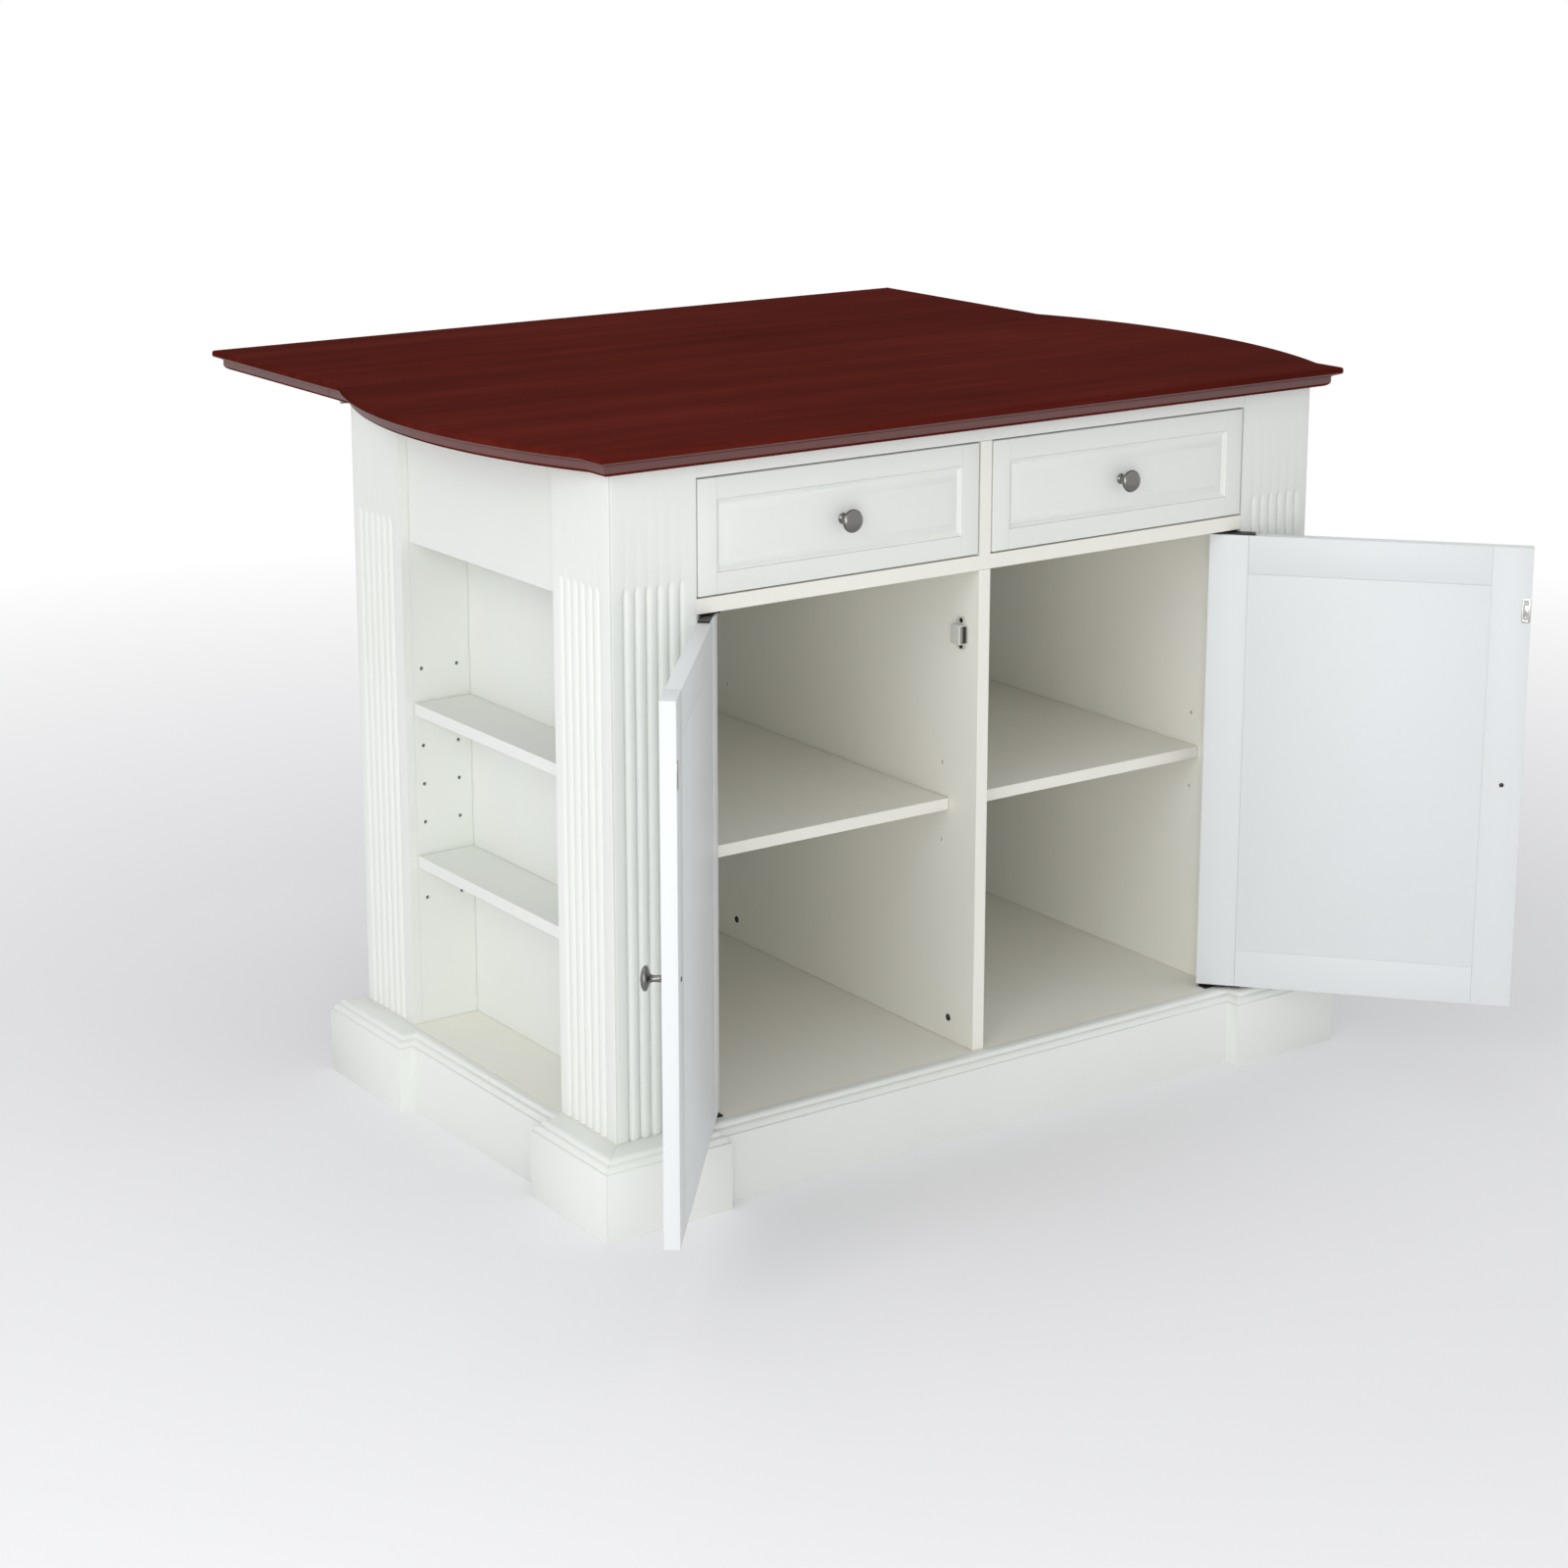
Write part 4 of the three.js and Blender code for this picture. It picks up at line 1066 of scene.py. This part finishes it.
# The strike plate: its middle in from the door's free edge and up from the ground, its
# half width, half height and thickness, and its screws and their countersinks.
strike_in = 6.1 * millimetre
strike_height = 629 * millimetre
strike_half_wide = 5.5 * millimetre
strike_half_high = 15.5 * millimetre
strike_thick = 0.6 * millimetre
strike_screw_up = 9.5 * millimetre
countersink_radius = 3.1 * millimetre
countersink_deep = 2 * millimetre
countersink_out = 0.9 * millimetre
for side, sign in (("left", -1), ("right", 1)):
    face_low, face_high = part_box(f"drawer_front_{side}")
    x0, x1 = face_low.x, face_high.x
    y0, y1 = face_low.y, face_low.y + door_thick
    z0, z1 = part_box(f"door_frame_{side}")[0].z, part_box(f"door_frame_{side}")[1].z
    left_stile, right_stile = ("hinge", "free") if sign < 0 else ("free", "hinge")
    made = []
    for place, low, high in (
        (f"{left_stile}_stile", (x0, y0, z0), (x0 + stile_wide, y1, z1)),
        (f"{right_stile}_stile", (x1 - stile_wide, y0, z0), (x1, y1, z1)),
        ("bottom_rail", (x0 + stile_wide + hair, y0, z0),
         (x1 - stile_wide - hair, y1, z0 + stile_wide)),
        ("top_rail", (x0 + stile_wide + hair, y0, z1 - stile_wide),
         (x1 - stile_wide - hair, y1, z1)),
    ):
        part = block(f"door_{place}_{side}", low, high)
        ease(part, 0.55 * millimetre)
        made.append(part)
    panel_low = (x0 + stile_wide + hair, y0 + panel_sunk, z0 + stile_wide + hair)
    panel_high = (x1 - stile_wide - hair, y1, z1 - stile_wide - hair)
    panel = block(f"door_field_{side}", panel_low, panel_high)
    pick(panel, "FACE", lambda middle, normal: normal.y < -0.9)
    step_in(door_moulding)
    bpy.ops.object.mode_set(mode="OBJECT")
    ease(panel, 0.4 * millimetre)
    for part in made:
        fit(swung(part, side), door_white, f"door_{side}", "white_paint", f"door_frame_{side}")
    fit(swung(panel, side), door_white, f"door_{side}", "white_paint", f"door_panel_{side}")

    free_x = x0 if sign > 0 else x1
    knob_x = free_x + sign * stile_wide / 2
    knob = turned_knob(f"door_pull_{side}", (knob_x, y0 - knob_sunk, knob_height))
    fit(swung(knob, side), nickel, f"door_{side}", "nickel", f"door_knob_{side}")

    # Inside the door: the screw of the knob, and the strike plate of the catch with its
    # two countersunk screws.
    screw = placed(
        screw_head, f"knob_screw_{side}", (knob_x, y1, knob_height), (0, 1, 0), 0.9
    )
    fit(swung(screw, side), dark_steel, f"door_{side}", "dark_steel")
    strike_x = free_x + sign * strike_in
    strike = block(
        f"strike_plate_{side}",
        (strike_x - strike_half_wide, y1, strike_height - strike_half_high),
        (strike_x + strike_half_wide, y1 + strike_thick, strike_height + strike_half_high),
    )
    round_edges(
        strike, lambda a, b: near(a.x, b.x) and near(a.z, b.z), 2 * millimetre, 4
    )
    strike_screws = []
    for z in (strike_height - strike_screw_up, strike_height + strike_screw_up):
        middle = (strike_x, y1 + countersink_out, z)
        carve(strike, disc("countersink", countersink_radius, countersink_deep, middle, "y"))
        strike_screws.append(
            placed(screw_head, "strike_screw", (strike_x, y1, z), (0, 1, 0), 0.72)
        )
    ease(strike, 0.12 * millimetre)
    fit(swung(strike, side), bright_plate, f"door_{side}", "hinge_steel")
    screws = joined(strike_screws, f"strike_screws_{side}")
    fit(swung(screws, side), zinc_steel, f"door_{side}", "hinge_steel")


# ---------------------------------------------------------------- hinges and catches
# Black steel pivot hinges screwed on above and below the doors, the long hinge under the
# seam, the two stays that hold the leaf up, and the magnetic catches on the divider.
black_steel = bright_metal("black_oxide_steel", (0.035, 0.034, 0.036), 0.38)
for side in ("left", "right"):
    for end in ("top", "bottom"):
        finish_board(f"hinge_case_leaf_{end}_{side}", black_steel, 0.25 * millimetre)
        finish_board(f"hinge_door_leaf_{end}_{side}", black_steel, 0.25 * millimetre)
    finish_board(f"stay_bracket_{side}", black_steel, 0.4 * millimetre)
    finish_board(f"stay_arm_{side}", black_steel, 0.6 * millimetre)
    finish_board(f"stay_track_{side}", black_steel, 0.4 * millimetre)
finish_board("leaf_hinge_case_plate", zinc_steel, 0.2 * millimetre)
finish_board("leaf_hinge_leaf_plate", zinc_steel, 0.2 * millimetre)

# Each catch is a moulded pale case on a screwed flange. The black magnet shows between
# two bright pole plates at its front.
case_plastic = satin_paint(
    "catch_case_plastic", (0.62, 0.62, 0.58), (0.58, 0.58, 0.545), roughness=0.36
)
magnet_black = satin_paint(
    "catch_magnet", (0.022, 0.021, 0.02), (0.016, 0.015, 0.015), roughness=0.5
)
# The parts of a catch, in millimetres: how far out from the divider, how far back from
# the front, and half the height.
catch_case = ((0, 13), (2, 20), 12)
catch_flange = ((0, 2), (4, 20.8), 20.5)
catch_nose = ((2.2, 10.8), (-1, 6), 10.5)
catch_magnet = ((3.8, 9.2), (0.8, 6), 10.2)
catch_poles = {1: ((2.3, 3.7), (0.1, 6), 10.4), 2: ((9.3, 10.7), (0.1, 6), 10.4)}
catch_screw_out = 1.9 * millimetre
catch_screw_back = 12 * millimetre
catch_screw_up = 16.2 * millimetre


def part_block(name, foot, sign, measures):
    """A block standing out from the divider at foot."""
    out, back, half = measures
    xs = sorted(foot.x + sign * reach * millimetre for reach in out)
    ys = [foot.y + reach * millimetre for reach in back]
    return block(
        name,
        (xs[0], ys[0], foot.z - half * millimetre), (xs[1], ys[1], foot.z + half * millimetre),
    )


for side, sign in (("left", -1), ("right", 1)):
    low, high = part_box(f"door_catch_{side}")
    near_x, far_x = (low.x, high.x) if sign > 0 else (high.x, low.x)
    foot = Vector((near_x, low.y, (low.z + high.z) / 2))
    case = part_block(f"catch_case_{side}", foot, sign, catch_case)
    round_edges(case, lambda a, b: near(a.x, far_x) and near(b.x, far_x), 1.6 * millimetre, 4)
    flange = part_block("flange", foot, sign, catch_flange)
    round_edges(flange, lambda a, b: near(a.y, b.y) and near(a.z, b.z), 6 * millimetre, 6)
    carve(case, flange, "UNION")
    carve(case, part_block("nose", foot, sign, catch_nose))
    ease(case, 0.3 * millimetre)
    fit(case, case_plastic, "cabinet", "catch_plastic", f"door_catch_{side}")
    magnet = part_block(f"catch_magnet_{side}", foot, sign, catch_magnet)
    ease(magnet, 0.3 * millimetre)
    fit(magnet, magnet_black, "cabinet", "dark_steel")
    for number, measures in catch_poles.items():
        pole = part_block(f"catch_pole_{number}_{side}", foot, sign, measures)
        ease(pole, 0.15 * millimetre)
        fit(pole, bright_plate, "cabinet", "hinge_steel")
    fixings = [
        placed(
            screw_head, "catch_screw",
            foot + Vector((sign * catch_screw_out, catch_screw_back, up)), (sign, 0, 0), 0.95,
        )
        for up in (-catch_screw_up, catch_screw_up)
    ]
    fit(joined(fixings, f"catch_screws_{side}"), dark_steel, "cabinet", "dark_steel")

# Screws of the door hinges, in the case and in the doors' ends.
leaf_plate = 1.8 * millimetre
head_sunk = 0.5 * millimetre
case_screw_x = (-9 * millimetre, 9 * millimetre)
door_screw_x = (20 * millimetre, 34 * millimetre)
for side, sign in (("left", -1), ("right", 1)):
    pivot = hinges[f"door_{side}"]
    for end, facing in (("top", -1), ("bottom", 1)):
        case_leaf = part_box(f"hinge_case_leaf_{end}_{side}")
        door_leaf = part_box(f"hinge_door_leaf_{end}_{side}")
        case_level = case_leaf[1].z if facing < 0 else case_leaf[0].z
        case_level += facing * (leaf_plate - head_sunk)
        door_level = door_leaf[1].z if facing < 0 else door_leaf[0].z
        door_level += facing * head_sunk
        in_case = [
            placed(
                screw_head, "hinge_screw",
                (pivot.x + x, pivot.y, case_level), (0, 0, facing), 0.85,
            )
            for x in case_screw_x
        ]
        screws = joined(in_case, f"hinge_case_screws_{end}_{side}")
        fit(screws, dark_steel, "cabinet", "dark_steel")
        in_door = [
            placed(
                screw_head, "hinge_screw",
                (pivot.x - sign * x, pivot.y, door_level), (0, 0, -facing), 0.95,
            )
            for x in door_screw_x
        ]
        screws = swung(joined(in_door, f"hinge_door_screws_{end}_{side}"), side)
        fit(screws, dark_steel, f"door_{side}", "dark_steel")
bpy.data.objects.remove(screw_head)


# ------------------------------------------------------------------------- the island's box
# The box of every shown piece of the dressed island, without the floor.
low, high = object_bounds()
